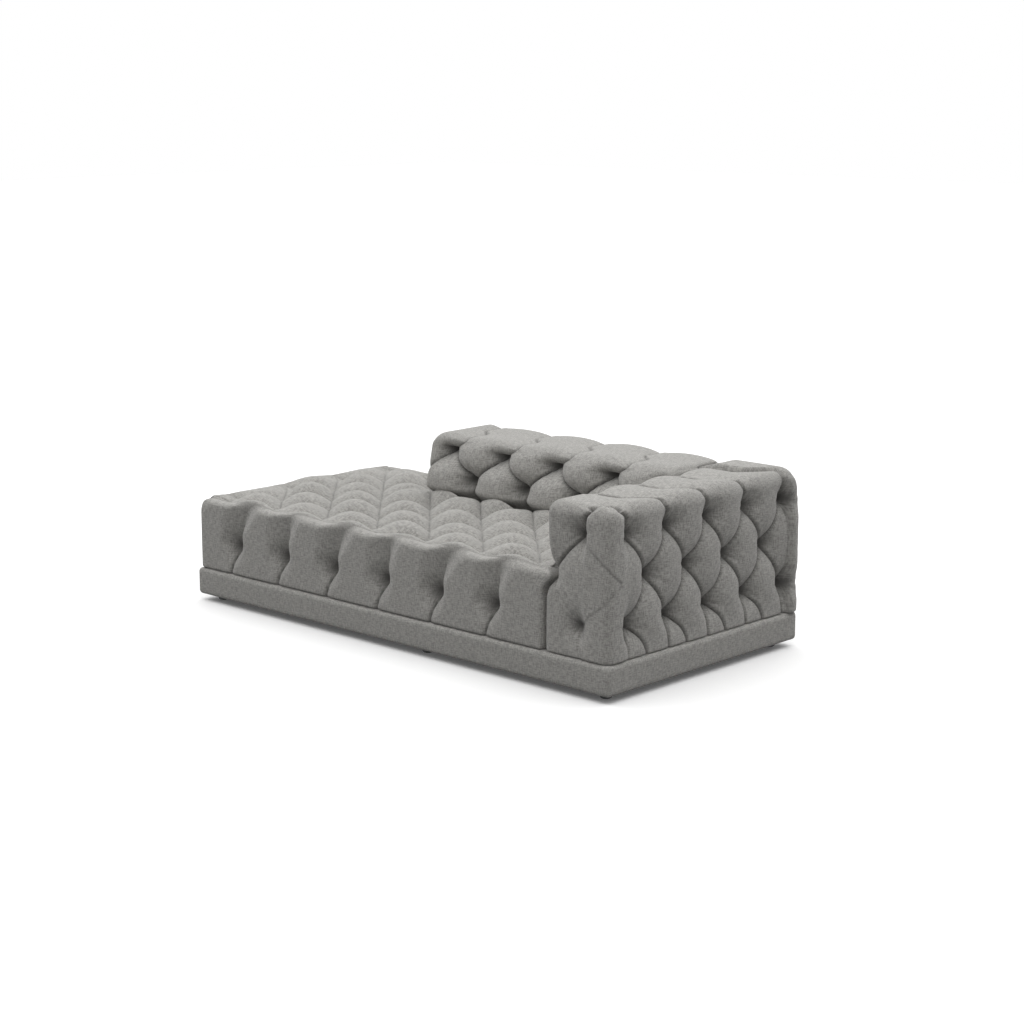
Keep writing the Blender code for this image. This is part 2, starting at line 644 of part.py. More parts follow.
def make_corner_block(index, sx, sy, inside_x, inside_y):
    """A three-cornered block in a corner of the plinth: a cube cut across and closed."""
    near = (sx * inside_x, sy * inside_y)
    far = (sx * (inside_x - CORNER_BLOCK), sy * (inside_y - CORNER_BLOCK))
    low = (min(near[0], far[0]), min(near[1], far[1]), RAIL_BOTTOM)
    high = (max(near[0], far[0]), max(near[1], far[1]), DECK_BOTTOM - GAP)
    bm = block(low, high)
    middle = Vector(((near[0] + far[0]) / 2, (near[1] + far[1]) / 2, 0))
    shave = Vector((sx, sy, 0)).normalized() * TIMBER_CHAMFER
    cut_faces = bmesh.ops.bisect_plane(
        bm,
        geom=[*bm.verts, *bm.edges, *bm.faces],
        plane_co=middle + shave,
        plane_no=(-sx, -sy, 0),
        dist=1e-6,
        clear_outer=True,
    )
    edges = [item for item in cut_faces["geom_cut"] if isinstance(item, bmesh.types.BMEdge)]
    bmesh.ops.contextual_create(bm, geom=edges)
    name = f"corner_block_{index + 1}"
    return placed(name, mesh_of(bm, name), "timber")


def make_covers(seats):
    """The fabric band round the plinth, the cloth under it, and the glides nailed through that cloth."""
    low, high = (-LENGTH / 2, -DEPTH / 2, GLIDE_HEIGHT), (LENGTH / 2, DEPTH / 2, DECK_TOP)
    band = box("plinth_cover", low, high, "cover_fabric", COVER_RADIUS)
    band.modifiers["Chamfer"].segments = 4
    opening = cut_block(
        "plinth", (-INNER_X, -INNER_Y, low[2] - OVERSHOOT), (INNER_X, INNER_Y, high[2] + OVERSHOOT)
    )
    cut(band, opening)
    x, y = INNER_X - GAP, INNER_Y - GAP
    dust_top = GLIDE_HEIGHT + DUST_COVER_THICKNESS
    dust_cover = box("dust_cover", (-x, -y, GLIDE_HEIGHT), (x, y, dust_top), "dust_cloth", 0)
    shoulder = GLIDE_HEIGHT - GAP
    nail_top = GLIDE_HEIGHT + GLIDE_NAIL_LENGTH
    profile = (
        (0, nail_top),
        (GLIDE_NAIL_RADIUS, nail_top - GLIDE_NAIL_RADIUS),
        (GLIDE_NAIL_RADIUS, shoulder),
        (GLIDE_RADIUS, shoulder),
        (GLIDE_RADIUS, GLIDE_CHAMFER),
        (GLIDE_RADIUS - GLIDE_CHAMFER, 0),
        (0, 0),
    )
    radius, length = GLIDE_NAIL_RADIUS + BOLT_CLEARANCE, 2 * (GLIDE_NAIL_LENGTH + GAP)
    for i, (piece, x, y) in enumerate(seats):
        turned(f"glide_{i + 1}", profile, (x, y, 0), "nylon")
        hole = cut_hole(f"nail_{i + 1}", (x, y, GLIDE_HEIGHT), radius, length, "Z", 8)
        cut(dust_cover, hole)
        cut(piece, hole)


def main():
    deck = make_plinth()
    make_seat_frame()
    seats = make_panelled_frame("arm", arm_hollow(), 1, ("inner_panel", "outer_panel"))
    seats += make_panelled_frame("back", back_hollow(), 0, ("front_panel", "rear_panel"))
    make_bolts(seats, deck)
    make_seat_pad()
    make_arm_pad()
    make_back_pad()


main()
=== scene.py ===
"""Looks of a deep-tufted chaise longue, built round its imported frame.

Laid out as an add-on: each operator makes one piece, or a group of like pieces, in place of its plain
solid, or gives solids that stay their finish. Metres, +Z up, in the frame's axes: +X runs to the arm, +Y to
the back.
"""

import math
from contextlib import contextmanager

import bmesh
import bpy
import numpy as np
from bpy.props import FloatProperty, FloatVectorProperty, IntProperty, PointerProperty
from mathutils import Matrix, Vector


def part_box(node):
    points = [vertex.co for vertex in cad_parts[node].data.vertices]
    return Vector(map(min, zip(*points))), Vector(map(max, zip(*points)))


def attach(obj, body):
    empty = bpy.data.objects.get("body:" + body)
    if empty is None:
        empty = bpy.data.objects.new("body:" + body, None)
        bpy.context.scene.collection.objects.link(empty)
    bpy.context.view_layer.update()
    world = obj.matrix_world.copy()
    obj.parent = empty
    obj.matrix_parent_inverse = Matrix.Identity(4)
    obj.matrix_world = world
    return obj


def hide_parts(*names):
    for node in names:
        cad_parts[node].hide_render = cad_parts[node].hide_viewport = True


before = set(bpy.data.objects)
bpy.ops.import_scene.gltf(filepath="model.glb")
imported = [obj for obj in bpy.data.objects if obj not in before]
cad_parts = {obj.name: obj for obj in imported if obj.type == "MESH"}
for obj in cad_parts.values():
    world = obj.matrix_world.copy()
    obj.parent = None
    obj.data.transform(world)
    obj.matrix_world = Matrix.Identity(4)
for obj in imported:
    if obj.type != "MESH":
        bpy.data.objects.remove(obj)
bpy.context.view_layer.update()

bl_info = {
    "name": "Tufted Chaise Longue",
    "version": (1, 0, 0),
    "blender": (4, 5, 0),
    "location": "3D View > Sidebar > Chaise",
    "description": "Dresses the frame of a deep-tufted chaise longue in its pads, covers and finishes",
    "category": "Object",
}

BODY = "root"
SEAT_LOW, SEAT_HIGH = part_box("seat_pad")
ARM_LOW, ARM_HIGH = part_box("arm_pad")
BACK_LOW, BACK_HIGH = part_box("back_pad")
BAND_LOW, BAND_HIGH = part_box("plinth_cover")
FOAM_LOW, FOAM_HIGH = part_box("seat_foam")
FACE = 1e-5  # how close to a face a point of a block lies on it
TINY = 1e-9  # keeps a division from nought


def length(name, description, default):
    """A size that a user may change."""
    return FloatProperty(name=name, description=description, default=default, unit="LENGTH", precision=4)


def share(name, description, default):
    """A plain number that a user may change."""
    return FloatProperty(name=name, description=description, default=default, precision=3)


def colour(name, description, default):
    """A colour that a user may change."""
    return FloatVectorProperty(
        name=name, description=description, default=default, subtype="COLOR", size=3, min=0, max=1
    )


class TuftLayout(bpy.types.PropertyGroup):
    """Where the tufts lie."""

    seat_pitch: length("Seat pitch", "Tuft to tuft along a row of the seat and the back", 0.2685)
    seat_first: length("Seat first tuft", "From the open end to the first tuft of the seat's front", 0.189)
    seat_row: length("Seat side row", "Height of the tufts round the seat's sides, above the plinth", 0.107)
    arm_pitch: length("Arm pitch", "Tuft to tuft along a row of the arm", 0.2095)
    arm_first: length("Arm first tuft", "From the front corner to the first tuft of the outer face", 0.120)
    arm_end: length("Arm end tuft", "From the outer corner to the tufts of the front end", 0.136)
    arm_arch: length("Arm arch", "Rise of the pleat that arches over the front outer corner", 0.182)
    arm_low: length("Arm low row", "Height of the low row of the arm and the back's rear", 0.109)
    arm_middle: length("Arm middle row", "Height of the middle row", 0.263)
    arm_high: length("Arm high row", "Height of the high row", 0.412)
    back_first: length("Back first tuft", "From the back's free end to the first upper tuft", 0.104)
    back_low: length("Back low row", "Height of the lower row on the back's face", 0.354)
    back_high: length("Back high row", "Height of the upper row on the back's face", 0.457)


class PadForm(bpy.types.PropertyGroup):
    """How the pads swell between their tufts."""

    seat_depth: length("Seat tufts", "Depth of the tufts on top of the seat", 0.074)
    seat_edge_depth: length("Seat edge", "Depth of the dips along the seat's top edge", 0.030)
    seat_side_depth: length("Seat side tufts", "Depth of the tufts round the seat's sides", 0.050)
    arm_depth: length("Arm tufts", "Depth of the arm's tufts", 0.042)
    arm_top_depth: length("Arm top pleats", "Depth of the pleats over the arm's top", 0.030)
    back_depth: length("Back tufts", "Depth of the back's tufts", 0.070)
    back_rear_depth: length("Back rear tufts", "Depth of the tufts on the back's rear", 0.058)
    back_top_depth: length("Back top pleats", "Depth of the pleats over the back's top", 0.024)
    foot_depth: length("Foot pleats", "Depth of the pleats where pads meet the plinth", 0.010)
    pleat_share: share("Pleat share", "Depth halfway along a pleat, as a share of its tufts' depth", 0.66)
    seat_line_share: share("Seat line share", "The same for the seat's pleats that run back to its end", 0.70)
    seat_arc_share: share("Seat arc share", "The same for those that run back to the arm", 0.94)
    fullness: share("Fullness", "Swell between pleats of the arm and back: lower is fuller", 0.55)
    seat_fullness: share("Seat fullness", "Swell between pleats of the seat's top: lower is fuller", 1.05)
    seat_radius: length("Seat edge radius", "Rounding of the seat's top edges", 0.060)
    upper_radius: length("Arm and back radius", "Rounding of the arm's and the back's top edges", 0.056)
    corner_radius: length("Corner radius", "Rounding of the pads' upright corners", 0.036)
    foot_radius: length("Foot radius", "Rounding of the pads' lower edges", 0.010)
    crease: length("Crease", "Extra depth in the line of a pleat", 0.006)
    crease_width: length("Crease width", "Half width of that line", 0.0042)
    # painted shade: how far a point lies below those around it when its colour is painted fully dark
    fold_shade_depth: length("Fold depth", "Depth below the cloth around at which a fold is fully dark", 0.0070)
    lip: length("Pleat lip", "How far the lapping side of a pleat stands out", 0.0025)
    pit: length("Pit", "Extra depth where the twine pulls the cloth in", 0.031)
    pit_radius: length("Pit radius", "Reach of the pit", 0.085)
    # painted shade: reach of the dark painted into a pit
    pit_shade: length("Pit shade", "Reach of the dark in a pit", 0.027)
    wrinkle: length("Wrinkles", "Height of the gathers round a tuft", 0.0022)
    unevenness: length("Unevenness", "Difference in swell from one bulge to the next", 0.007)
    tuft_lean: length("Tuft lean", "How far the front's tufts lie armward of their pleats' feet", 0.022)
    edge_lean: length("Edge lean", "How far the dips above them lie to the other side", 0.040)
    top_lean: length("Top lean", "How far pleats lean to the front as they cross the arm's top", 0.085)
    back_top_lean: length("Back top lean", "How far pleats lean to the arm as they rise over the back", 0.060)
    front_swell: length("Front corner swell", "How far the arm's front corner stands proud", 0.003)
    rear_swell: length("Rear corner swell", "How far the arm's rear corner stands proud", 0.020)
    back_tuck: length("Back tuck", "How far the back's face tucks in behind the seat", 0.056)
    back_lean: length("Back lean", "How far the top of the back's face leans back", 0.080)
    steps: IntProperty(name="Steps", description="Mesh steps in half a pitch", default=24, min=4)
    seat_steps: IntProperty(name="Seat steps", description="The same on the seat", default=20, min=4)


class Finishes(bpy.types.PropertyGroup):
    """Colours of what shows."""

    cloth: colour("Cloth", "Upholstery cloth", (0.455, 0.444, 0.420))
    cloth_dark: colour("Cloth, dark yarn", "Darker yarn of the cloth", (0.262, 0.256, 0.242))
    # painted shade: the colour that the cloth is painted towards in pits, pleat lines and deep valleys
    cloth_painted_shade: colour("Cloth, in folds", "Cloth deep in a pleat", (0.11, 0.107, 0.101))
    timber: colour("Timber", "Frame rails and posts", (0.56, 0.38, 0.20))
    plywood: colour("Plywood", "Deck and panels", (0.62, 0.45, 0.27))
    foam: colour("Foam", "Seat core", (0.84, 0.78, 0.58))
    webbing: colour("Webbing", "Elastic straps", (0.10, 0.09, 0.08))
    dust_cloth: colour("Dust cloth", "Cloth under the plinth", (0.022, 0.022, 0.024))
    nylon: colour("Nylon", "Glides", (0.16, 0.16, 0.16))
    steel: colour("Steel", "Bolts", (0.58, 0.58, 0.60))


class StageSettings(bpy.types.PropertyGroup):
    """Camera, floor and light."""

    camera_place: FloatVectorProperty(
        name="Camera", description="Where the camera stands", default=(5.3454, -5.5280, 1.9918), subtype="XYZ"
    )
    camera_turn: FloatProperty(
        name="Turn", description="Heading left of +Y", default=math.radians(43.282), subtype="ANGLE"
    )
    camera_tilt: FloatProperty(
        name="Tilt", description="Downward tilt", default=math.radians(11.585), subtype="ANGLE"
    )
    camera_lens: share("Lens", "Focal length in millimetres on a 36 mm frame", 74.87)
    sky: share("Sky", "Strength of the even light from all round", 0.41)
    overhead: share("Overhead light", "Strength of the broad light from above", 2.85)
    overhead_tilt: FloatProperty(
        name="Overhead tilt", description="Lean of that light, to come from behind", default=math.radians(12),
        subtype="ANGLE",
    )
    floor: colour("Floor", "Pale floor as the camera sees it", (1.0, 1.0, 1.0))
    floor_glow: share("Floor glow", "Light that lifts the open floor to white for the camera", 0.06)
    floor_bounce: colour("Floor bounce", "Floor as it lights the object", (0.24, 0.24, 0.24))


def settings():
    """The layout of the tufts and the form of the pads."""
    return bpy.context.scene.chaise_tufts, bpy.context.scene.chaise_form


# Arithmetic on arrays of points

def eased(value):
    """0 to 1, with level ends."""
    value = np.clip(value, 0, 1)
    return value * value * (3 - 2 * value)


def ramp(value, start, run):
    """0 up to the start, easing to 1 over the run that follows."""
    return eased((value - start) / run)


def fade(value, run):
    """1 up to nought, easing to 0 over the run that follows."""
    return 1 - eased(value / run)


def roll(away, radius):
    """Depth, as a share, beside a sharp pleat between two rolls of this radius."""
    return 1 - np.sqrt(1 - np.clip(1 - away / radius, 0, 1) ** 2)


def valley(away, width):
    """Depth, as a share, beside a smooth valley of this half width."""
    return (1 + np.cos(np.pi * np.clip(away / width, 0, 1))) / 2


def bell(value, width):
    """1 at nought, falling off to both sides over about this width."""
    return np.exp(-((value / width) ** 2))


CHANCE_MIX, CHANCE_SPREAD = (12.9898, 78.233), 43758.5453  # scatter whole numbers


def chance(*whole):
    """A number from 0 to 1 that is always the same for the same two whole numbers."""
    mixed = sum(number * factor for number, factor in zip(whole, CHANCE_MIX))
    return np.mod(np.sin(mixed) * CHANCE_SPREAD, 1)


SWELL_WAVES = (  # how fast each wave turns along x, y and z, and where it starts
    (9.1, 4.3, 0.0, 2.0),
    (-5.7, 11.3, 6.1, 0.0),
    (7.9, -3.1, 13.7, 1.3),
    (4.4, 17.3, -12.1, 0.7),
)


def swell(points):
    """Slow, shallow unevenness of hand-filled padding, from -1 to 1."""
    return sum(np.sin(points @ np.array(way) + start) for *way, start in SWELL_WAVES) / len(SWELL_WAVES)


def stations(low, high, step, *through):
    """Places from low to high about a step apart, that pass through the places named."""
    stops = sorted({low, high, *(t for t in through if low + step < t < high - step)})
    runs = [
        np.linspace(a, b, max(1, round((b - a) / step)), endpoint=False) for a, b in zip(stops, stops[1:])
    ]
    return np.concatenate([*runs, [high]])


# Meshes of pads

def block_shell(xs, ys, zs, stands):
    """Points and outward quads of an upright block: its top and walls, open below.

    stands(x, y) is True where the block stands. Also gives the axis that each quad faces."""
    middle = [(c[1:] + c[:-1]) / 2 for c in (xs, ys)]
    cells = stands(*np.meshgrid(*middle, indexing="ij"))
    padded = np.pad(cells, 1)
    heights = np.arange(len(zs) - 1)

    def number(i, j, k):
        return (i * len(ys) + j) * len(zs) + k

    i, j = np.nonzero(cells)
    top = len(zs) - 1
    quads = [np.stack([number(i + a, j + b, top) for a, b in ((0, 0), (1, 0), (1, 1), (0, 1))], 1)]
    axes = [np.full(len(i), 2)]
    for axis in (0, 1):
        step = np.diff(padded.astype(int), axis=axis)
        step = step[:, 1:-1] if axis == 0 else step[1:-1]
        for sign in (-1, 1):
            i, j = np.nonzero(step == sign)
            i, j, k = (a.ravel() for a in np.broadcast_arrays(i[:, None], j[:, None], heights[None]))
            far = (i, j + 1) if axis == 0 else (i + 1, j)
            ring = [number(i, j, k), number(*far, k), number(*far, k + 1), number(i, j, k + 1)]
            if (sign == -1) == (axis == 1):
                ring.reverse()
            quads.append(np.stack(ring, 1))
            axes.append(np.full(len(i), axis))
    quads = np.concatenate(quads)
    used, quads = np.unique(quads, return_inverse=True)
    i, rest = np.divmod(used, len(ys) * len(zs))
    j, k = np.divmod(rest, len(zs))
    return np.stack([xs[i], ys[j], zs[k]], 1), quads.reshape(-1, 4), np.concatenate(axes)


def rounded(points, cores):
    """Points of a block once its edges are rounded, and the way the pad faces at each.

    A core is the low and high corner of a block's middle, and how far the block stands past each."""
    best = None
    for low, high, under, over in cores:
        inside = np.clip(points, low, high)
        past = points - inside
        size = np.where(past < 0, under, over)
        past = past / size
        gap = np.linalg.norm(past, axis=1)
        if best is None:
            best, nearest, bent, scale = gap, inside, past, size
        closer = (gap < best)[:, None]
        best = np.minimum(best, gap)
        nearest = np.where(closer, inside, nearest)
        bent = np.where(closer, past, bent)
        scale = np.where(closer, size, scale)
    bent = bent / best[:, None]
    level = np.linalg.norm(bent[:, :2], axis=1) + TINY
    across, along = np.abs(bent[:, :2].T) / level
    small = bpy.context.scene.chaise_form.corner_radius / max(cores[0][3])
    inset = 1 - small
    turned = inset * (across + along)
    corner = turned + np.sqrt(np.maximum(turned**2 - 2 * inset**2 + small**2, 0))
    main, other = np.maximum(across, along), np.minimum(across, along)
    flat = 1 / np.where(level > FACE, main, 1)
    in_corner = other > inset * main
    reach = np.where(in_corner, corner, flat)
    places = nearest + bent * scale
    places[:, :2] = nearest[:, :2] + bent[:, :2] * scale[:, :2] * reach[:, None]
    normals = bent / scale
    return places, normals / np.linalg.norm(normals, axis=1)[:, None]


BELOW = 1.0  # cores reach this far under the floor, so that lower edges stay square


def core(low, high, radius, left=None, right=None, rear=None):
    """The middle of a block with this radius at its top and upright edges, or another at the sides named."""
    under = np.array((left or radius, radius, BELOW))
    over = np.array((right or radius, rear or radius, radius))
    return (low[0] + under[0], low[1] + radius, -BELOW), tuple(np.array(tuple(high)) - over), under, over


def triangles_along_pleats(quads, depth):
    """Two triangles for each quad, split along its deeper diagonal, so that pleats stay straight."""
    a, b, c, d = quads.T
    first = depth[a] + depth[c] > depth[b] + depth[d]
    one = np.where(first[:, None], np.stack([a, b, c], 1), np.stack([b, c, d], 1))
    two = np.where(first[:, None], np.stack([a, c, d], 1), np.stack([b, d, a], 1))
    return np.concatenate([one, two])


def mesh_of(name, points, faces):
    """A mesh from arrays of points and of faces that have the same number of sides."""
    mesh = bpy.data.meshes.new(name)
    count, sides = faces.shape
    mesh.vertices.add(len(points))
    mesh.vertices.foreach_set("co", points.astype(np.float32).ravel())
    mesh.loops.add(count * sides)
    mesh.loops.foreach_set("vertex_index", faces.astype(np.int32).ravel())
    mesh.polygons.add(count)
    mesh.polygons.foreach_set("loop_start", np.arange(0, count * sides, sides, dtype=np.int32))
    mesh.update(calc_edges=True)
    mesh.validate()
    return mesh


def lay_cloth(mesh, faces, flat, axes):
    """Gives the mesh a map of the cloth in metres: each face is cut along the axis that it faces."""
    layer = mesh.uv_layers.new(name="cloth")
    kept = np.array([(1, 2), (0, 2), (0, 1)])[axes]
    corners = flat[faces]
    laid = np.stack([np.take_along_axis(corners, kept[:, None, i : i + 1], 2)[..., 0] for i in (0, 1)], 2)
    layer.uv.foreach_set("vector", laid.astype(np.float32).ravel())


SHADE_START = 0.2  # share of a fold's full depth that gets no painted shade


def paint_fold_shade(mesh, faces, sunk, dark):
    """Marks where shade is painted into the cloth's colour: pits, the lines of pleats, and other points
    deeper than those around.
    """
    around, count = np.zeros(len(sunk)), np.zeros(len(sunk))
    for here, there in ((0, 1), (1, 2), (2, 0), (1, 0), (2, 1), (0, 2)):
        np.add.at(around, faces[:, here], sunk[faces[:, there]])
        np.add.at(count, faces[:, here], 1)
    deeper = (sunk - around / count) / bpy.context.scene.chaise_form.fold_shade_depth
    fold = np.clip(deeper - SHADE_START, 0, 1)
    # the fold attribute holds the painted shade, from 0 to fully dark
    mark = mesh.attributes.new("fold", "FLOAT", "POINT")
    mark.data.foreach_set("value", np.maximum(fold, dark).astype(np.float32))


@contextmanager
def edited(mesh):
    """Opens a mesh for edits, and writes it back with its faces turned outward."""
    bm = bmesh.new()
    bm.from_mesh(mesh)
    yield bm
    bmesh.ops.recalc_face_normals(bm, faces=bm.faces)
    bm.to_mesh(mesh)
    bm.free()


def close_under(mesh, outline, base, top):
    """Closes a pad below, with a plain hollow of this outline that takes the frame."""
    with edited(mesh) as bm:
        rim = [e for e in bm.edges if e.is_boundary]
        low = [bm.verts.new((x, y, base)) for x, y in outline]
        high = [bm.verts.new((x, y, top)) for x, y in outline]
        for i in range(len(outline)):
            bm.faces.new((low[i - 1], low[i], high[i], high[i - 1]))
            rim.append(bm.edges.get((low[i - 1], low[i])))
        bm.faces.new(high)
        bmesh.ops.triangle_fill(bm, edges=rim, use_beauty=True, use_dissolve=False)


def grid_quads(rows, columns, rows_close=False, columns_close=False):
    """Quads of points that lie in rows, closed from the last row or column to the first if asked."""
    counts = rows - (not rows_close), columns - (not columns_close)
    i, j = (g.ravel() for g in np.meshgrid(*map(np.arange, counts), indexing="ij"))
    up, on = (i + 1) % rows, (j + 1) % columns
    return np.stack([i * columns + j, i * columns + on, up * columns + on, up * columns + j], 1)


def show(name, mesh, material, slot, *nodes):
    """Puts a piece in the scene, riding on the frame in place of these nodes."""
    obj = bpy.data.objects.new(name, mesh)
    bpy.context.scene.collection.objects.link(obj)
    mesh.materials.append(material)
    mesh.shade_smooth()
    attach(obj, BODY)
    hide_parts(*nodes)
    return obj


# The pattern of tufts

LIP_WIDTH, LIP_START = 4, 0.5  # reach and start of a pleat's lapping side, in widths of its line
LINE_SHADE = 0.7  # how dark the painted shade in the line of a pleat is on the arm and the back
TUFT_REACH = 0.11  # beyond it a tuft leaves the cloth alone
GATHER_WAVES = 5, 8, 11  # gathers round a tuft, in three sets
GATHER_TURN, GATHER_LEAST, GATHER_SPREAD = 6.28, 0.6, 0.8  # how far a set may turn, and its height
GATHER_FADE, GATHER_START = 0.034, 0.012  # how the gathers die out, and the smooth middle
HEIGHT_DRAW = 7  # from the number of a set's turn to that of its height
FILLING = 0.0012  # slow unevenness of every pad


def lapped(form, line):
    """How far the lapping side of a pleat stands out beside its line."""
    return form.lip * bell(line, LIP_WIDTH * form.crease_width) * (line > LIP_START * form.crease_width)


class Pattern:
    """Pads' depth from a pattern whose tufts lie where u and v are whole and add up to an even number."""

    def __init__(self, u, v, deep, half_u, half_v, fullness, shares):
        a, b = (u + v) / 2, (u - v) / 2
        self.cell = np.floor(a), np.floor(b)
        along = (1 - (2 * (a % 1) - 1) ** 2) ** fullness
        across = (1 - (2 * (b % 1) - 1) ** 2) ** fullness
        self.bulge = along * across
        rise_a, rise_b = (1 - share for share in shares)
        raised = rise_a * across * (1 - along) + rise_b * along * (1 - across) + self.bulge
        self.depth = deep * (1 - raised)
        steep = math.hypot(1 / half_u, 1 / half_v) / 2
        self.lines = [(c - np.round(c)) / steep for c in (a, b)]

    def creases(self, form):
        """Depth of the pleats' own lines, with one side of each lapped over the other."""
        return form.crease * self.marks(form) - sum(lapped(form, line) for line in self.lines)

    def marks(self, form):
        """1 in the line of a pleat."""
        return np.maximum(*(bell(line, form.crease_width) for line in self.lines))

    def uneven(self, form):
        """Depth that makes each bulge a little flatter than another."""
        return form.unevenness * self.bulge * chance(*self.cell)


class Tuft:
    """A place where twine pulls the cloth in. reach scales its pit, and gather the small folds round it."""

    def __init__(self, place, axis, reach=1.0, gather=1.0):
        self.place = np.array(place, float)
        self.axis = axis
        self.reach = reach
        self.gather = gather

    def pull(self, form, points):
        """Depth of the pit and of the gathers round it, and how dark the shade painted in the pit is."""
        depth, dark = np.zeros(len(points)), np.zeros(len(points))
        away = points - self.place
        near = np.nonzero((np.abs(away) < TUFT_REACH).all(1))[0]
        away = away[near]
        far = np.linalg.norm(away, axis=1)
        across, up = [c for c in range(3) if c != self.axis]
        angle = np.arctan2(away[:, up], away[:, across])
        seed = np.round(self.place * 1000).sum()
        folds = 0
        for i, count in enumerate(GATHER_WAVES):
            turn = GATHER_TURN * chance(seed, i)
            height = GATHER_LEAST + GATHER_SPREAD * chance(seed, i + HEIGHT_DRAW)
            folds = folds + np.cos(count * angle + turn) * height
        ring = np.exp(-far / GATHER_FADE) * (1 - bell(far, GATHER_START))
        cone = np.clip(1 - far / form.pit_radius, 0, 1) ** 2
        depth[near] = self.reach * form.pit * cone + self.gather * form.wrinkle * folds * ring
        # painted shade in the pit, darkest at its middle
        dark[near] = min(self.reach, 1) * bell(far, form.pit_shade)
        return depth, dark


def gathered(form, points, tufts):
    """Depth of all pits, and the shade painted in them."""
    pulls = [tuft.pull(form, points) for tuft in tufts]
    return sum(depth for depth, dark in pulls), np.max([dark for depth, dark in pulls], axis=0)


def foot_tuck(form, z, base):
    """How far a pad's lower edge rounds in to the plinth."""
    up = np.clip((z - base) / form.foot_radius, 0, 1)
    return form.foot_radius * (1 - np.sqrt(1 - (1 - up) ** 2))


def row_place(z, heights):
    """Place among rows: whole at each, from 0 for two rows or -1 for three, and level past the outer ones."""
    return np.interp(z, heights, np.arange(len(heights)) - (len(heights) == 3))


def tufted_pad(name, blocks, depth, tufts, hollow, hollow_top, shift=None, upright=None):
    """A pad from a block of stations: rounded, drawn in by its tufts and pleats, closed over its hollow.

    shift moves its points on, and upright is the share by which they sink straight down instead of inward."""
    form = bpy.context.scene.chaise_form
    xs, ys, zs, stands, cores = blocks
    points, quads, axes = block_shell(xs, ys, zs, stands)
    sunk, lines = depth(points)
    pits, dark = gathered(form, points, tufts)
    sunk = sunk + pits + FILLING * swell(points) + foot_tuck(form, points[:, 2], zs[0])
    places, normals = rounded(points, cores)
    if upright:
        down = upright(points)[:, None]
        normals = normals * (1 - down) + np.array((0, 0, 1)) * down
        normals = normals / np.linalg.norm(normals, axis=1)[:, None]
    places = places - normals * sunk[:, None]
    places[:, 2] = np.maximum(places[:, 2], zs[0])
    if shift:
        places = places + shift(places)
    faces = triangles_along_pleats(quads, sunk)
    mesh = mesh_of(name, places, faces)
    lay_cloth(mesh, faces, points, np.concatenate([axes, axes]))
    # paints shade into the cloth's colour in pits, pleat lines and points deeper than those around
    paint_fold_shade(mesh, faces, sunk, np.maximum(lines, dark))
    close_under(mesh, hollow, zs[0], hollow_top)
    return show(name, mesh, cloth_material(), "cover_fabric", name)


def rectangle(low, high):
    """Corners of a rectangle, in order round it."""
    return [(low[0], low[1]), (high[0], low[1]), (high[0], high[1]), (low[0], high[1])]


# Pads. A RUN is the length over which something eases in or out

SEAM = 0.0006  # between pads that butt
BACK_STEP = 0.060  # from the back's face to its lower part, behind the seat
SEAT_WALL, SEAT_ROOF = 0.100, 0.090  # between the seat's faces and its hollow
ARM_WALL, ARM_ROOF = 0.082, 0.092
BACK_END, BACK_REAR, BACK_CORE, BACK_ROOF = 0.095, 0.085, 0.120, 0.092


def notch():
    """The corner of the seat where the back stands."""
    return BACK_LOW.x - SEAM, BACK_LOW.y + BACK_STEP - SEAM


LAST_SHARE = 0.2  # least share of a half pitch between the last tufts and the seat's end and rear


def seat_lattice():
    """First column, half pitch, and the range of the seat's pattern along u and v."""
    tufts = bpy.context.scene.chaise_tufts
    half = tufts.seat_pitch / 2
    column = SEAT_LOW.x + tufts.seat_first
    u_range = math.ceil((SEAT_LOW.x - column) / half + LAST_SHARE), round((SEAT_HIGH.x - column) / half)
    return column, half, u_range, (0, math.floor((SEAT_HIGH.y - SEAT_LOW.y) / half - LAST_SHARE))


def either(*depths):
    """The deepest of several hollows, run together smoothly."""
    return sum(np.maximum(d, 0) ** 3 for d in depths) ** (1 / 3)


FILL, FILL_RUN, FILL_FRONT, FILL_DEEP = 0.050, 0.06, 0.02, 0.12  # into the hollow by the arm's front
FILL_BELOW, FILL_ABOVE = 0.035, 0.060  # how far that reaches from the arm's middle row
RISE, RISE_START, RISE_RUN = 0.018, 0.20, 0.16  # up before the back
RISE_UNDER, RISE_HEIGHT = 0.08, 0.05  # from how far under the top that eases in
DIP, DIP_START, DIP_RUN = 0.070, 0.008, 0.047  # down below the back's lower edge
DIP_UNDER, DIP_HEIGHT = 0.20, 0.18
BESIDE_BACK, BESIDE_RUN = 0.05, 0.10  # both ease in from here beside the back's free end


def seat_swell(points):
    """How the seat fills the hollow by the arm's front, rises before the back and dips below its edge."""
    x, y, z = points.T
    step_x, step_y = notch()
    near = ramp(x, SEAT_HIGH.x - FILL_RUN, FILL_RUN) * fade(y - SEAT_LOW.y - FILL_FRONT, FILL_DEEP)
    above = z - ARM_LOW.z - bpy.context.scene.chaise_tufts.arm_middle
    level = bell(above, np.where(above < 0, FILL_BELOW, FILL_ABOVE))
    raised = RISE * ramp(y, step_y - RISE_START, RISE_RUN) * ramp(z, SEAT_HIGH.z - RISE_UNDER, RISE_HEIGHT)
    dipped = DIP * ramp(y, BACK_LOW.y + DIP_START, DIP_RUN) * ramp(z, SEAT_HIGH.z - DIP_UNDER, DIP_HEIGHT)
    lift = (raised - dipped) * ramp(x, step_x - BESIDE_BACK, BESIDE_RUN)
    return np.stack([FILL * near * level, 0 * y, lift], 1)


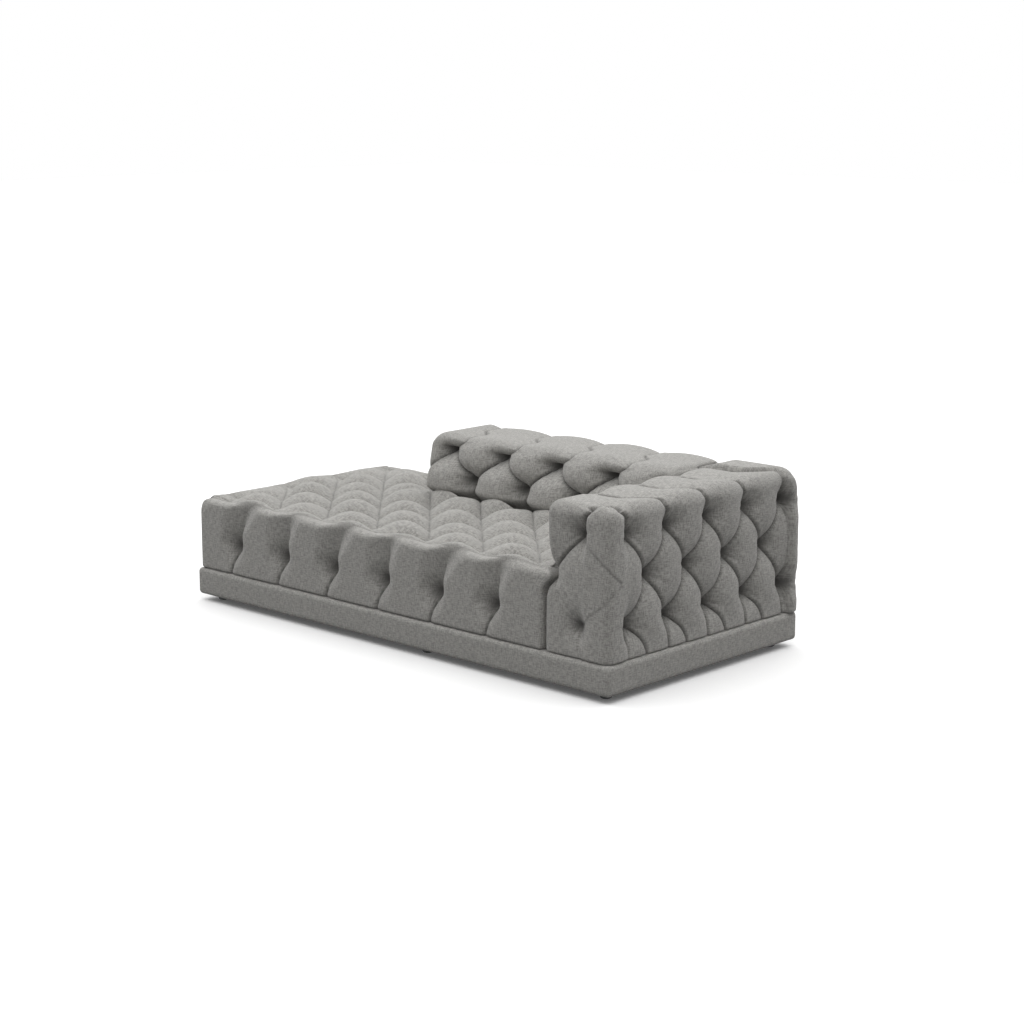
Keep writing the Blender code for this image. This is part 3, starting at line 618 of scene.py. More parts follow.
def to_seam(points):
    """How far points of the seat lie from the arm or the back, whichever is nearer."""
    step_x, step_y = notch()
    to_back = np.hypot(np.maximum(step_x - points[:, 0], 0), np.maximum(step_y - points[:, 1], 0))
    return np.minimum(SEAT_HIGH.x - points[:, 0], to_back)


def open_sides(points):
    """How far points of the seat lie from its front, its open end and its rear, a row for each."""
    x, y = points.T[:2]
    return np.stack([y - SEAT_LOW.y, x - SEAT_LOW.x, SEAT_HIGH.y - y])


SEAM_RUN, SEAM_FRONT_RUN = 0.03, 0.05  # beside the seams, and behind the seat's front
RIM_RUN, RIM_HEIGHT, RIM_FRONT_RUN = 0.06, 0.10, 0.10  # of the rims of the seat's end and rear


def by_seam(points):
    """1 on the seat's walls that butt against the arm and the back, easing off beside them."""
    return fade(to_seam(points), SEAM_RUN) * eased((points[:, 1] - SEAT_LOW.y) / SEAM_FRONT_RUN)


def sinks_down(points):
    """Share by which the seat sinks straight down: by its seams, and along the rims of its end and rear."""
    sides = open_sides(points)
    rim = fade(sides[1:].min(0), RIM_RUN) * ramp(points[:, 2], SEAT_HIGH.z - RIM_HEIGHT, RIM_HEIGHT)
    rim = rim * (sides.argmin(0) > 0) * eased(sides[0] / RIM_FRONT_RUN)
    return np.maximum(by_seam(points), rim)


HIDDEN_EDGE, HIDDEN_ARCH = 0.27, 0.2  # depth on the seat's end and rear, as shares of the front's
FRONT_REACH = 0.75  # half pitches over which the diamonds reach full depth behind the front
SEAM_LOSS, SEAM_REACH = 0.5, 0.11  # how much shallower they are by the seams, and how far from them
WAVER, WAVER_SCALE = 0.06, 2.3  # of the pleats on top, in half pitches
ARCH_SPAN = 1.88  # reach of an arch on the sides, in half pitches
CORNER_SHARE, CORNER_START, CORNER_RUN = 0.15, 0.06, 0.10  # the rear corner of the end stays plainer
PLAIN_RUN = 0.03  # from a butting wall's edges to where it is plain
BUTT_HEIGHT = 0.15  # how far the top's pattern runs down walls other than the front
FRONT_DROOP, REAR_DROOP, DROOP_RUN = 0.004, 0.021, 0.20  # of the top towards the seat's sides
DOME_UNEVEN = 2.2  # of the domes on top, as a multiple of the other bulges'
CREASE_FRONT_RUN, CREASE_REAR_RUN = 0.07, 0.12  # from the sides to where the top's creases are full
TOP_CREASE, TOP_LINE_SHADE, TOP_SHADE = 0.5, 0.33, 0.30  # depth of those creases, their painted shade and the shade painted in the valleys between the domes


def seat_depth(points):
    """Diamonds on top, and round the sides one row of tufts with a pleat below each and an arch above it."""
    tufts, form = settings()
    column, half, u_range, v_range = seat_lattice()
    x, y, z = points.T
    rise = SEAT_HIGH.z - SEAT_LOW.z
    sides = open_sides(points)
    inward, nearest, to_hidden = sides.min(0), sides.argmin(0), sides[1:].min(0)
    front = nearest == 0
    top = z > SEAT_HIGH.z - FACE
    leaning = np.interp(z - SEAT_LOW.z, (0, tufts.seat_row, rise), (0, -form.tuft_lean, form.edge_lean))
    leaning = np.where(top, form.edge_lean * fade(sides[0], half), leaning * front)
    filled = x + seat_swell(points)[:, 0] + leaning
    u = np.clip((filled - column) / half, u_range[0], u_range[1] + 1)
    v = np.clip(sides[0] / half, *v_range)

    edge = form.seat_edge_depth * np.where(front, 1.0, HIDDEN_EDGE)
    on_top = edge + (form.seat_depth - edge) * eased(inward / np.where(front, FRONT_REACH, 1.0) / half)
    on_top = on_top * (1 - SEAM_LOSS * fade(to_seam(points), SEAM_REACH))
    slip = WAVER * swell(points[:, (1, 0, 2)] * WAVER_SCALE) * top
    shares = form.seat_line_share, form.seat_arc_share
    diamonds = Pattern(u + slip, v - slip, on_top, half, half, form.seat_fullness, shares)

    place = np.choose(nearest, (u / 2, (u_range[0] + v) / 2, (u + v_range[1]) / 2))
    over = np.where(top, inward, z - SEAT_HIGH.z)
    weak = np.where(front, 1.0, HIDDEN_ARCH)
    gap = np.where(front, form.edge_lean - leaning, 0.0)
    span = ARCH_SPAN * half - (form.edge_lean + form.tuft_lean) * front
    side, lines = seat_side(
        form, tufts.seat_row, rise, place, over, 2 * half, u_range[1] / 2, weak, gap, span
    )
    far_corner = np.hypot(x - SEAT_LOW.x, SEAT_HIGH.y - y)
    whole = CORNER_SHARE + (1 - CORNER_SHARE) * ramp(far_corner, CORNER_START, CORNER_RUN)
    whole = np.where(front, 1.0, whole)
    side, lines = side * whole, lines * whole
    step_x, step_y = notch()
    butts = (x > SEAT_HIGH.x - FACE) | ((x > step_x - FACE) & (y > step_y - FACE))
    plain = butts * eased(-over / PLAIN_RUN) * eased(sides[0] / PLAIN_RUN)
    side = side + (np.minimum(side, form.foot_depth) - side) * plain

    height = np.where(butts | ~front, BUTT_HEIGHT, form.seat_radius)
    near_top = np.where(top, 1.0, eased(over / height + 1))
    droop = FRONT_DROOP * fade(sides[0], DROOP_RUN) + REAR_DROOP * fade(to_hidden, DROOP_RUN)
    swelled = diamonds.depth + DOME_UNEVEN * diamonds.uneven(form) + droop
    creased = near_top * eased(sides[0] / CREASE_FRONT_RUN) * eased(to_hidden / CREASE_REAR_RUN)
    # painted shade, darker the deeper the valleys between the domes lie, and along the pleat lines
    shade = TOP_SHADE * (diamonds.depth / form.seat_depth) ** 3
    lines = np.maximum(lines * (1 - plain), np.maximum(TOP_LINE_SHADE * diamonds.marks(form), shade) * creased)
    drawn = either(side, swelled * near_top)
    drawn = drawn + (swelled * near_top - drawn) * by_seam(points)
    return drawn + TOP_CREASE * diamonds.creases(form) * creased, lines


ARM_PLEAT = 0.15  # share that is left of the pleat beside the arm
PLEAT_LEVELS = 0.072, 0.04  # below the row of tufts
PLEAT_SHALLOW, PLEAT_SHARE = 0.014, 0.5  # depth at the first, and the share of a tuft's at the second
PLEAT_RADIUS, PLEAT_GROWTH = 0.034, 0.5  # of the rolls beside a pleat, and how they widen with its depth
CREASE_ASIDE, SHADE_ASIDE, SHADE_RUN = 0.006, 0.005, 0.02  # of a pleat's line and of the shade painted along it, towards the open end
ARCH_LEVELS = 0.03, 0.08, 0.15  # above the row of tufts
ARCH_DEPTHS = 0.048, 0.040, 0.024, 0.004  # at those levels and at the crest
ARCH_CREST = 0.03  # how far past the top edge an arch reaches
ARCH_BENDS = 2.1, 3.3  # rounder and squarer arches, by turns
ARCH_SIZE = 0.24  # mean reach of an arch, which turns shares of it into a length
HIDDEN_RUN = 0.10  # from the row of tufts to where arches are weak on hidden sides
SOFT_START, SOFT_RUN = 0.04, 0.10  # above the row, where an arch's roll turns to a valley
ARCH_ROLL, ARCH_VALLEY = 0.060, 0.085  # their widths
SHOULDER, SHOULDER_POWER = 0.12, 1.2  # reach and steepness of the slope above an arch
FAR_LOSS, FAR_START, FAR_RUN = 0.45, 0.15, 0.11  # an arch is shallower far from its tuft
EARLIER_SHARE, EARLIER_RUN = 0.55, 0.08  # of the arch that ends at a column
JOIN = 0.02  # half the height over which pleats turn to arches


def seat_side(form, row, rise, place, over, pitch, last, weak, gap, span):
    """Depth on the seat's sides and along its top edge, and the shade painted along its pleats.

    place is whole at a column of tufts, and over is the way up from the top edge and then inward. From each
    tuft a pleat drops to the plinth, and another arches over the next swell to the column that follows. gap
    is how far that column lies from its own upper end, and span the reach of the arch."""
    cell = np.floor(place)
    past = (place - cell) * pitch
    before = pitch - past
    height = over + rise
    tuft = form.seat_side_depth
    aside = np.where(past < before, past, -before)
    by_arm = np.where(np.round(place) < last, 1.0, ARM_PLEAT)
    levels = (0, *(row - below for below in PLEAT_LEVELS), row)
    low = np.interp(height, levels, (form.foot_depth, PLEAT_SHALLOW, PLEAT_SHARE * tuft, tuft))
    pleat = low * by_arm * roll(np.abs(aside), PLEAT_RADIUS + PLEAT_GROWTH * low)
    pleat = pleat + form.crease * by_arm * bell(aside + CREASE_ASIDE, form.crease_width)
    pleat = pleat - lapped(form, aside)

    levels = (row, *(row + above for above in ARCH_LEVELS), rise + ARCH_CREST)
    deep = np.interp(height, levels, (tuft, *ARCH_DEPTHS))
    deep = deep * (weak + (1 - weak) * eased(1 - (height - row) / HIDDEN_RUN))
    upward = np.clip((height - row) / (rise - row + ARCH_CREST), 0, 2)
    soft = ramp(height, row + SOFT_START, SOFT_RUN)

    def beyond_arch(sideways, number):
        bend = np.where(number % 2 == 0, *ARCH_BENDS)
        sideways = np.clip((sideways - gap) / span, 0, 3)
        return ((sideways**bend + upward**bend) ** (1 / bend) - 1) * ARCH_SIZE

    def inside_arch(off):
        return deep * (roll(-off, ARCH_ROLL) * (1 - soft) + valley(-off, ARCH_VALLEY) * soft)

    def above_arch(off):
        return deep * np.clip(1 - off / SHOULDER, 0, 1) ** SHOULDER_POWER

    def by_arch(off):
        return np.where(off < 0, inside_arch(np.minimum(off, 0)), above_arch(np.maximum(off, 0)))

    own = by_arch(beyond_arch(before, cell)) * (1 - FAR_LOSS * ramp(past, FAR_START, FAR_RUN)) * (cell < last)
    following = above_arch(beyond_arch(before + pitch, cell + 1)) * (cell + 1 < last)
    earlier = EARLIER_SHARE * by_arch(beyond_arch(-past, cell - 1)) * fade(past, EARLIER_RUN)
    arch = either(own, following, earlier)
    # painted shade along the pleat below each tuft
    lines = by_arm * bell(aside + SHADE_ASIDE, form.crease_width) * eased((row - height) / SHADE_RUN)
    return pleat + (arch - pleat) * ramp(height, row - JOIN, 2 * JOIN), lines


TOP_PIT, TOP_GATHER = 0.1, 0.3  # of the tufts on top of the seat, as shares
SIDE_PIT, SIDE_GATHER = 1.3, 0.35  # of those round its sides
FRONT_PULL = 0.012  # how far the front's pits lie back from their tufts' lean
BESIDE_STEP = 0.01  # tufts closer to the back than this are left out
CORNER_CLEAR = 0.12  # so are those of the end and the rear this close to their corner


def seat_tufts():
    """Tufts on top, in diamonds, and one row round the three open sides."""
    tufts, form = settings()
    column, half, u_range, v_range = seat_lattice()
    step_x, step_y = notch()
    row = SEAT_LOW.z + tufts.seat_row
    found = []
    for u in range(u_range[0], u_range[1] + 1):
        x = column + u * half
        for v in range(v_range[0], v_range[1] + 1):
            y = SEAT_LOW.y + v * half
            if (u + v) % 2 or (x > step_x - BESIDE_STEP and y > step_y - BESIDE_STEP):
                continue
            edge = v in v_range or u in u_range
            found.append(Tuft((x, y, SEAT_HIGH.z), 2, 0.0 if edge else TOP_PIT, TOP_GATHER))
        if u % 2 == 0 and u < u_range[1] - 1:
            place = (x + form.tuft_lean - FRONT_PULL, SEAT_LOW.y, row)
            found.append(Tuft(place, 1, SIDE_PIT, SIDE_GATHER))
        if (u + v_range[1]) % 2 == 0 and SEAT_LOW.x + CORNER_CLEAR < x < step_x - BESIDE_STEP:
            found.append(Tuft((x, SEAT_HIGH.y, row), 1, SIDE_PIT, SIDE_GATHER))
    for v in range(v_range[0], v_range[1] + 1):
        y = SEAT_LOW.y + v * half
        if (u_range[0] + v) % 2 == 0 and y < SEAT_HIGH.y - CORNER_CLEAR:
            found.append(Tuft((SEAT_LOW.x, y, row), 0, SIDE_PIT, SIDE_GATHER))
    return found


END_RADIUS, BUTT_RADIUS = 0.034, 0.02  # rounding of the seat's open end, and where it butts


def make_seat_pad():
    """The L-shaped seat."""
    tufts, form = settings()
    column, half, u_range, v_range = seat_lattice()
    step_x, step_y = notch()
    step = half / form.seat_steps
    radius = form.seat_radius
    columns = [column + half * u for u in range(*u_range)]
    rows = [SEAT_LOW.y + half * v for v in range(1, v_range[1] + 1)]
    xs = stations(SEAT_LOW.x, SEAT_HIGH.x, step, *columns, step_x)
    ys = stations(SEAT_LOW.y, SEAT_HIGH.y, step, *rows, step_y)
    zs = stations(SEAT_LOW.z, SEAT_HIGH.z, step, SEAT_LOW.z + tufts.seat_row)
    ys[np.argmin(np.abs(ys - step_y))] = step_y
    xs[np.argmin(np.abs(xs - step_x))] = step_x
    ends = {"left": END_RADIUS, "right": BUTT_RADIUS}
    cores = (
        core(SEAT_LOW, (step_x, SEAT_HIGH.y, SEAT_HIGH.z), radius, **ends),
        core(SEAT_LOW, (SEAT_HIGH.x, step_y, SEAT_HIGH.z), radius, **ends, rear=BUTT_RADIUS),
    )
    wall = SEAT_WALL
    left, front, rear = SEAT_LOW.x + wall, SEAT_LOW.y + wall, SEAT_HIGH.y - wall
    right, step_in, step_back = SEAT_HIGH.x - wall, step_x - wall, step_y - wall
    hollow = [
        (left, front), (right, front), (right, step_back), (step_in, step_back), (step_in, rear), (left, rear)
    ]
    pad = tufted_pad(
        "seat_pad",
        (xs, ys, zs, lambda x, y: (x < step_x) | (y < step_y), cores),
        seat_depth,
        seat_tufts(),
        hollow,
        SEAT_HIGH.z - SEAT_ROOF,
        seat_swell,
        sinks_down,
    )


def arm_rows():
    """Heights of the rows of tufts on the arm, which the back's rear shares."""
    tufts = bpy.context.scene.chaise_tufts
    return [ARM_LOW.z + row for row in (tufts.arm_low, tufts.arm_middle, tufts.arm_high)]


def past_rows(z, base, rows, deep, top):
    """Pleat depth: full between the outer rows, easing to the foot's and the top's beyond them."""
    form = bpy.context.scene.chaise_form
    levels = (base, rows[0], rows[-1], rows[-1] + form.upper_radius)
    return np.interp(z, levels, (form.foot_depth, deep, deep, top))


REAR_CLEAR = 0.04  # least distance from the last column of tufts to the arm's rear corner


def arm_columns():
    """Depth of the arm, half pitch, the way from the last tuft column to the rear corner, and its u."""
    tufts = bpy.context.scene.chaise_tufts
    half = tufts.arm_pitch / 2
    deep = ARM_HIGH.y - ARM_LOW.y
    count = math.floor((deep - tufts.arm_first - REAR_CLEAR) / tufts.arm_pitch)
    return deep, half, deep - tufts.arm_first - count * tufts.arm_pitch, 2 * count + 2


ROUND_REACH, ROUND_POWER = 0.4, 8  # how far from an end, and how tightly, pleats turn an upright corner
RISING_RUN = 0.10  # from the high row to where pleats belong to the top
SIDE_LEAN, SIDE_START = 0.020, 0.15  # lean of the outer face's pleats there, from this far behind the front
LEAN_START, LEAN_RUN, LEAN_REAR_RUN = 0.03, 0.11, 0.10  # of the lean on top
CORNER_BEND = 1.8  # roundness of the front corner's arch
LOBE_START, LOBE_ASIDE, LOBE_DOWN = 0.9, 0.33, 0.45  # how pleats below the low row bend, in steps of u and v
PLAIN_START, PLAIN_NARROW, PLAIN_END = 0.72, 0.17, 0.96  # shares of the way to a corner that stays plain
NARROW_RUN = 0.05  # from the outer face to where that share is whole
REAR_LOSS, REAR_RUN = 0.9, 0.18  # of the pleats on top by the arm's rear
FOOT_LOSS, FOOT_RUN = 0.85, 0.05  # of those below the middle row on the front and inner sides
ARM_ROW_HALF, BACK_ROW_HALF = 0.15, 0.11  # mean step between rows of tufts


def arm_depth(points):
    """Diamonds on the outer face and the ends, an arch over the front outer corner, pleats across the top."""
    tufts, form = settings()
    deep, half, last, corner_u = arm_columns()
    x, y, z = points.T
    low, middle, high = arm_rows()
    from_front, from_rear, from_outer = y - ARM_LOW.y, ARM_HIGH.y - y, ARM_HIGH.x - x
    across = from_outer / tufts.arm_end
    top = z > ARM_HIGH.z - FACE
    inner = x < ARM_LOW.x + FACE
    rising = ramp(z, high, RISING_RUN)

    def round_corner(away, first, across):
        along = np.where(away > first, 1 + (away - first) / half, away / first)
        rounder = (along**ROUND_POWER + across**ROUND_POWER) ** (1 / ROUND_POWER)
        return np.where(away < ROUND_REACH, rounder, along)

    lean = SIDE_LEAN * rising * (from_front > SIDE_START)
    lean = lean + form.top_lean * ramp(from_outer, LEAN_START, LEAN_RUN) * top
    lean = lean * eased(from_rear / LEAN_REAR_RUN)
    front_u = round_corner(from_front + lean, tufts.arm_first, across)
    rear_u = round_corner(from_rear - lean, last, across * ~top)

    over_top = np.minimum(np.minimum(from_front, from_rear), from_outer) * top
    above = np.clip((z + over_top - high) / tufts.arm_arch, 0, None)
    beside = np.clip(np.abs(from_front / tufts.arm_first - across), 0, 1)
    arch = (beside**CORNER_BEND + above**CORNER_BEND) ** (1 / CORNER_BEND)
    arch = np.maximum(arch - np.minimum(front_u, 1), 0)
    front_u = front_u + arch * np.clip(2 - front_u, 0, 1)

    u = np.where(from_front < deep / 2, front_u, corner_u - rear_u)
    from_corner = np.minimum(front_u, rear_u)
    outward = np.where(inner, eased(1 - np.minimum(from_front, from_rear) / tufts.arm_pitch), 1.0)
    below = np.clip((low - z) / (low - ARM_LOW.z), 0, 1) * (from_outer < FACE) * (from_corner > LOBE_START)
    below = 1 - (1 - below) ** 2
    u = u - LOBE_ASIDE * below
    v = 1 + (row_place(z, arm_rows()) - LOBE_DOWN * below - 1) * outward
    sunk = past_rows(z, ARM_LOW.z, arm_rows(), form.arm_depth, form.arm_top_depth)
    sunk = np.minimum(sunk, form.arm_top_depth + (form.arm_depth - form.arm_top_depth) * outward)

    start = PLAIN_START - PLAIN_NARROW * fade(from_outer, NARROW_RUN) * (from_front < deep / 2)
    kept = ramp(from_corner, start, PLAIN_END - start)
    proud = np.where(front_u < rear_u, form.front_swell, form.rear_swell * (1 - rising)) * (1 - kept)
    kept = kept * (1 - REAR_LOSS * rising * fade(from_rear, REAR_RUN))
    kept = kept * (1 - FOOT_LOSS * ((from_front < FACE) | inner) * eased((middle - z) / FOOT_RUN))
    pattern = Pattern(u, v, sunk * kept, half, ARM_ROW_HALF, form.fullness, 2 * (form.pleat_share,))
    slack = loose_fold(form, from_corner, from_outer > FACE, v)
    creases = form.crease * slack + pattern.creases(form) * kept
    # painted shade along the pleat lines and along the slack fold
    lines = np.maximum(LINE_SHADE * kept * pattern.marks(form), slack)
    return pattern.depth + creases + pattern.uneven(form) * kept - proud, lines


LOOSE_LOW, LOOSE_HIGH = 0.25, 0.45  # strength of the slack fold below and above the middle row
LOOSE_TURN = 0.5  # how far past the corner it turns back, in steps of u
LOOSE_SIZE = 0.10  # mean step between tufts, which turns shares of it into a length
LOOSE_RUN = 0.25  # share of the way from the end's tufts over which it eases in


def loose_fold(form, from_corner, on_end, v):
    """Share of a pleat's line in the slack fold that runs from an end's tufts to past the outer corner."""
    signed = np.where(on_end, -from_corner, from_corner)
    across = np.interp(signed, (-1, LOOSE_TURN, 1), (1, 0, 1))
    line = (across - np.abs(v)) * LOOSE_SIZE
    shown = (signed < LOOSE_TURN) * ramp(signed, -1, LOOSE_RUN) * (from_corner < 1)
    return np.where(v < 0, LOOSE_LOW, LOOSE_HIGH) * bell(line, form.crease_width) * shown


ARM_PIT = 1.15  # of the arm's tufts, as a share
FACE_PULL, END_PULL = 0.005, 0.008  # how far their pits lie off the pattern, along the face and the ends


def arm_tufts():
    """Tufts on the outer face and on both ends."""
    tufts = bpy.context.scene.chaise_tufts
    _, half, _, corner_u = arm_columns()
    found = []
    for v, z in zip((-1, 0, 1), arm_rows()):
        for u in range(1, corner_u):
            if (u + v) % 2 == 0:
                y = ARM_LOW.y + tufts.arm_first + (u - 1) * half
                found.append(Tuft((ARM_HIGH.x, y + FACE_PULL, z), 0, ARM_PIT))
        for y in (ARM_LOW.y, ARM_HIGH.y):
            across = tufts.arm_end if v else ARM_HIGH.x - ARM_LOW.x
            found.append(Tuft((ARM_HIGH.x - across - END_PULL, y, z), 1, ARM_PIT))
    return found


def half_pitches(low, high, first, half):
    """Places of the half pitches from the first to the far side."""
    return [low + first + half * i for i in range(math.ceil((high - low - first) / half))]


def make_arm_pad():
    """The arm, over the whole depth of the seat."""
    tufts, form = settings()
    half = tufts.arm_pitch / 2
    step = half / form.steps
    columns = half_pitches(ARM_LOW.y, ARM_HIGH.y, tufts.arm_first, half)
    xs = stations(ARM_LOW.x, ARM_HIGH.x, step, ARM_HIGH.x - tufts.arm_end)
    ys = stations(ARM_LOW.y, ARM_HIGH.y, step, *columns)
    zs = stations(ARM_LOW.z, ARM_HIGH.z, step, *arm_rows())
    wall = ARM_WALL
    hollow = rectangle((ARM_LOW.x + wall, ARM_LOW.y + wall), (ARM_HIGH.x - wall, ARM_HIGH.y - wall))
    pad = tufted_pad(
        "arm_pad",
        (xs, ys, zs, lambda x, y: x > ARM_LOW.x, (core(ARM_LOW, ARM_HIGH, form.upper_radius),)),
        arm_depth,
        arm_tufts(),
        hollow,
        ARM_HIGH.z - ARM_ROOF,
    )


def back_rows():
    """Heights of the rows of tufts on the back's face."""
    tufts = bpy.context.scene.chaise_tufts
    return [BACK_LOW.z + row for row in (tufts.back_low, tufts.back_high)]


BACK_LEAN_START, BACK_LEAN_RUN = 0.15, 0.10  # behind the face, where pleats on top stop leaning
END_SHARE, END_RUN = 0.5, 0.10  # of the pleats' depth at the free end
CAP_UNDER, CAP_RUN, CAP_REACH = 0.03, 0.06, 0.05  # the free end is plain above the upper row


def back_depth(points):
    """Two staggered rows on the face, pleats that lean over the top, and three rows on the rear.

    They run together round the free end, which is plain above the upper row."""
    tufts, form = settings()
    half = tufts.seat_pitch / 2
    x, y, z = points.T
    from_face, from_end = y - BACK_LOW.y, x - BACK_LOW.x
    high = back_rows()[-1]
    lean = form.back_top_lean * eased((z - high) / (BACK_HIGH.z - high))
    lean = lean * (1 - ramp(from_face, BACK_LEAN_START, BACK_LEAN_RUN))
    u = 1 + (from_end - tufts.back_first - lean) / half
    u = u - (from_end < FACE) * from_face / half * eased((BACK_HIGH.z - z) / half)
    rearward = eased(from_face / (BACK_HIGH.y - BACK_LOW.y))
    on_face = row_place(z, back_rows())
    v = on_face + (row_place(z, arm_rows()) - on_face) * rearward
    face_deep = past_rows(z, BACK_LOW.z, back_rows(), form.back_depth, form.back_top_depth)
    rear_deep = past_rows(z, BACK_LOW.z, arm_rows(), form.back_rear_depth, form.back_top_depth)
    deep = face_deep + (rear_deep - face_deep) * rearward
    deep = np.where(x > BACK_HIGH.x - FACE, np.minimum(deep, form.foot_depth), deep)
    deep = deep * (END_SHARE + (1 - END_SHARE) * eased(from_end / END_RUN))
    pattern = Pattern(u, v, deep, half, BACK_ROW_HALF, form.fullness, 2 * (form.pleat_share,))
    kept = 1 - ramp(z, high - CAP_UNDER, CAP_RUN) * fade(from_end, CAP_REACH)
    drawn = pattern.depth + pattern.creases(form) + pattern.uneven(form)
    # the second value is the shade painted along the pleat lines
    return drawn * kept, LINE_SHADE * pattern.marks(form) * kept


TUCK_UNDER, TUCK_RUN = 0.045, 0.055  # the tuck ends from under the seat's top to just above it
SLOPE_START, SLOPE_POWER = 0.010, 1.5  # above the seat's top, where the face starts to lean, and how it bends


def back_slope(places):
    """How far the back's face lies rearward: tucked behind the seat below, leaning at the top."""
    form = bpy.context.scene.chaise_form
    y, z = places.T[1:]
    crown = SEAT_HIGH.z
    behind = form.back_tuck * (1 - ramp(z, crown - TUCK_UNDER, TUCK_RUN))
    start = crown + SLOPE_START
    behind = behind + form.back_lean * np.clip((z - start) / (BACK_HIGH.z - start), 0, 1) ** SLOPE_POWER
    behind = behind * eased(1 - (y - BACK_LOW.y) / (BACK_HIGH.y - BACK_LOW.y))
    return np.stack([0 * behind, behind, 0 * behind], 1)


BACK_PULL = 0.018  # how far the face's pits lie off the pattern, towards the free end
BACK_PIT, BACK_REAR_PIT = 1.5, 0.3  # of the back's tufts, as shares


def back_tufts():
    """Tufts on the back's face and rear."""
    tufts = bpy.context.scene.chaise_tufts
    half = tufts.seat_pitch / 2
    last = math.floor(1 + (BACK_HIGH.x - BACK_LOW.x - tufts.back_first) / half)
    sides = [(BACK_LOW.y, v, z, BACK_PULL, BACK_PIT) for v, z in enumerate(back_rows())]
    sides += [(BACK_HIGH.y, v, z, 0.0, BACK_REAR_PIT) for v, z in zip((-1, 0, 1), arm_rows())]
    return [
        Tuft((BACK_LOW.x + tufts.back_first + (u - 1) * half - aside, y, z), 1, reach)
        for y, v, z, aside, reach in sides
        for u in range(1, last + 1)
        if (u + v) % 2 == 0
    ]


def make_back_pad():
    """The back, from its free end to the arm."""
    tufts, form = settings()
    half = tufts.seat_pitch / 2
    step = half / form.steps
    columns = half_pitches(BACK_LOW.x, BACK_HIGH.x, tufts.back_first, half)
    xs = stations(BACK_LOW.x, BACK_HIGH.x, step, *columns)
    ys = stations(BACK_LOW.y, BACK_HIGH.y, step)
    zs = stations(BACK_LOW.z, BACK_HIGH.z, step, *back_rows())
    rear = BACK_HIGH.y - BACK_REAR
    hollow = rectangle((BACK_LOW.x + BACK_END, rear - BACK_CORE), (BACK_HIGH.x - BACK_END, rear))
    pad = tufted_pad(
        "back_pad",
        (xs, ys, zs, lambda x, y: x > BACK_LOW.x, (core(BACK_LOW, BACK_HIGH, form.upper_radius),)),
        back_depth,
        back_tufts(),
        hollow,
        BACK_HIGH.z - BACK_ROOF,
        back_slope,
    )


# Finishes

MIX_FACTOR, MIX_FIRST, MIX_SECOND, MIX_RESULT = 0, 6, 7, 2  # sockets of a mix of colours


def new_material(name, roughness):
    """A material, its node tree and its shader."""
    material = bpy.data.materials.new(name)
    material.use_nodes = True
    shader = material.node_tree.nodes["Principled BSDF"]
    shader.inputs["Roughness"].default_value = roughness
    return material, material.node_tree, shader


def node(tree, kind, **values):
    """A node with these inputs or settings."""
    made = tree.nodes.new(kind)
    for key, value in values.items():
        if key in made.inputs:
            made.inputs[key].default_value = value
        else:
            setattr(made, key, value)
    return made


def two_colours(tree, factor, first, second):
    """The output of a mix of two colours by a factor. The first may be an output too."""
    mix = node(tree, "ShaderNodeMix", data_type="RGBA")
    tree.links.new(factor, mix.inputs[MIX_FACTOR])
    if isinstance(first, bpy.types.NodeSocket):
        tree.links.new(first, mix.inputs[MIX_FIRST])
    else:
        mix.inputs[MIX_FIRST].default_value = (*first, 1)
    mix.inputs[MIX_SECOND].default_value = (*second, 1)
    return mix.outputs[MIX_RESULT]


def new_group(name, *sockets):
    """A node group with these sockets, its input and its output."""
    group = bpy.data.node_groups.new(name, "ShaderNodeTree")
    for label, kind, way in sockets:
        group.interface.new_socket(label, in_out=way, socket_type=f"NodeSocket{kind}")
    return group, group.nodes.new("NodeGroupInput"), group.nodes.new("NodeGroupOutput")


YARN_WAYS = (1.0, 7.0, 1.0), (7.0, 1.0, 1.0)  # slubs are long along the warp and the weft
YARN_RANGE = 0.39, 0.61  # of the slubs' noise, from all dark yarn to all light


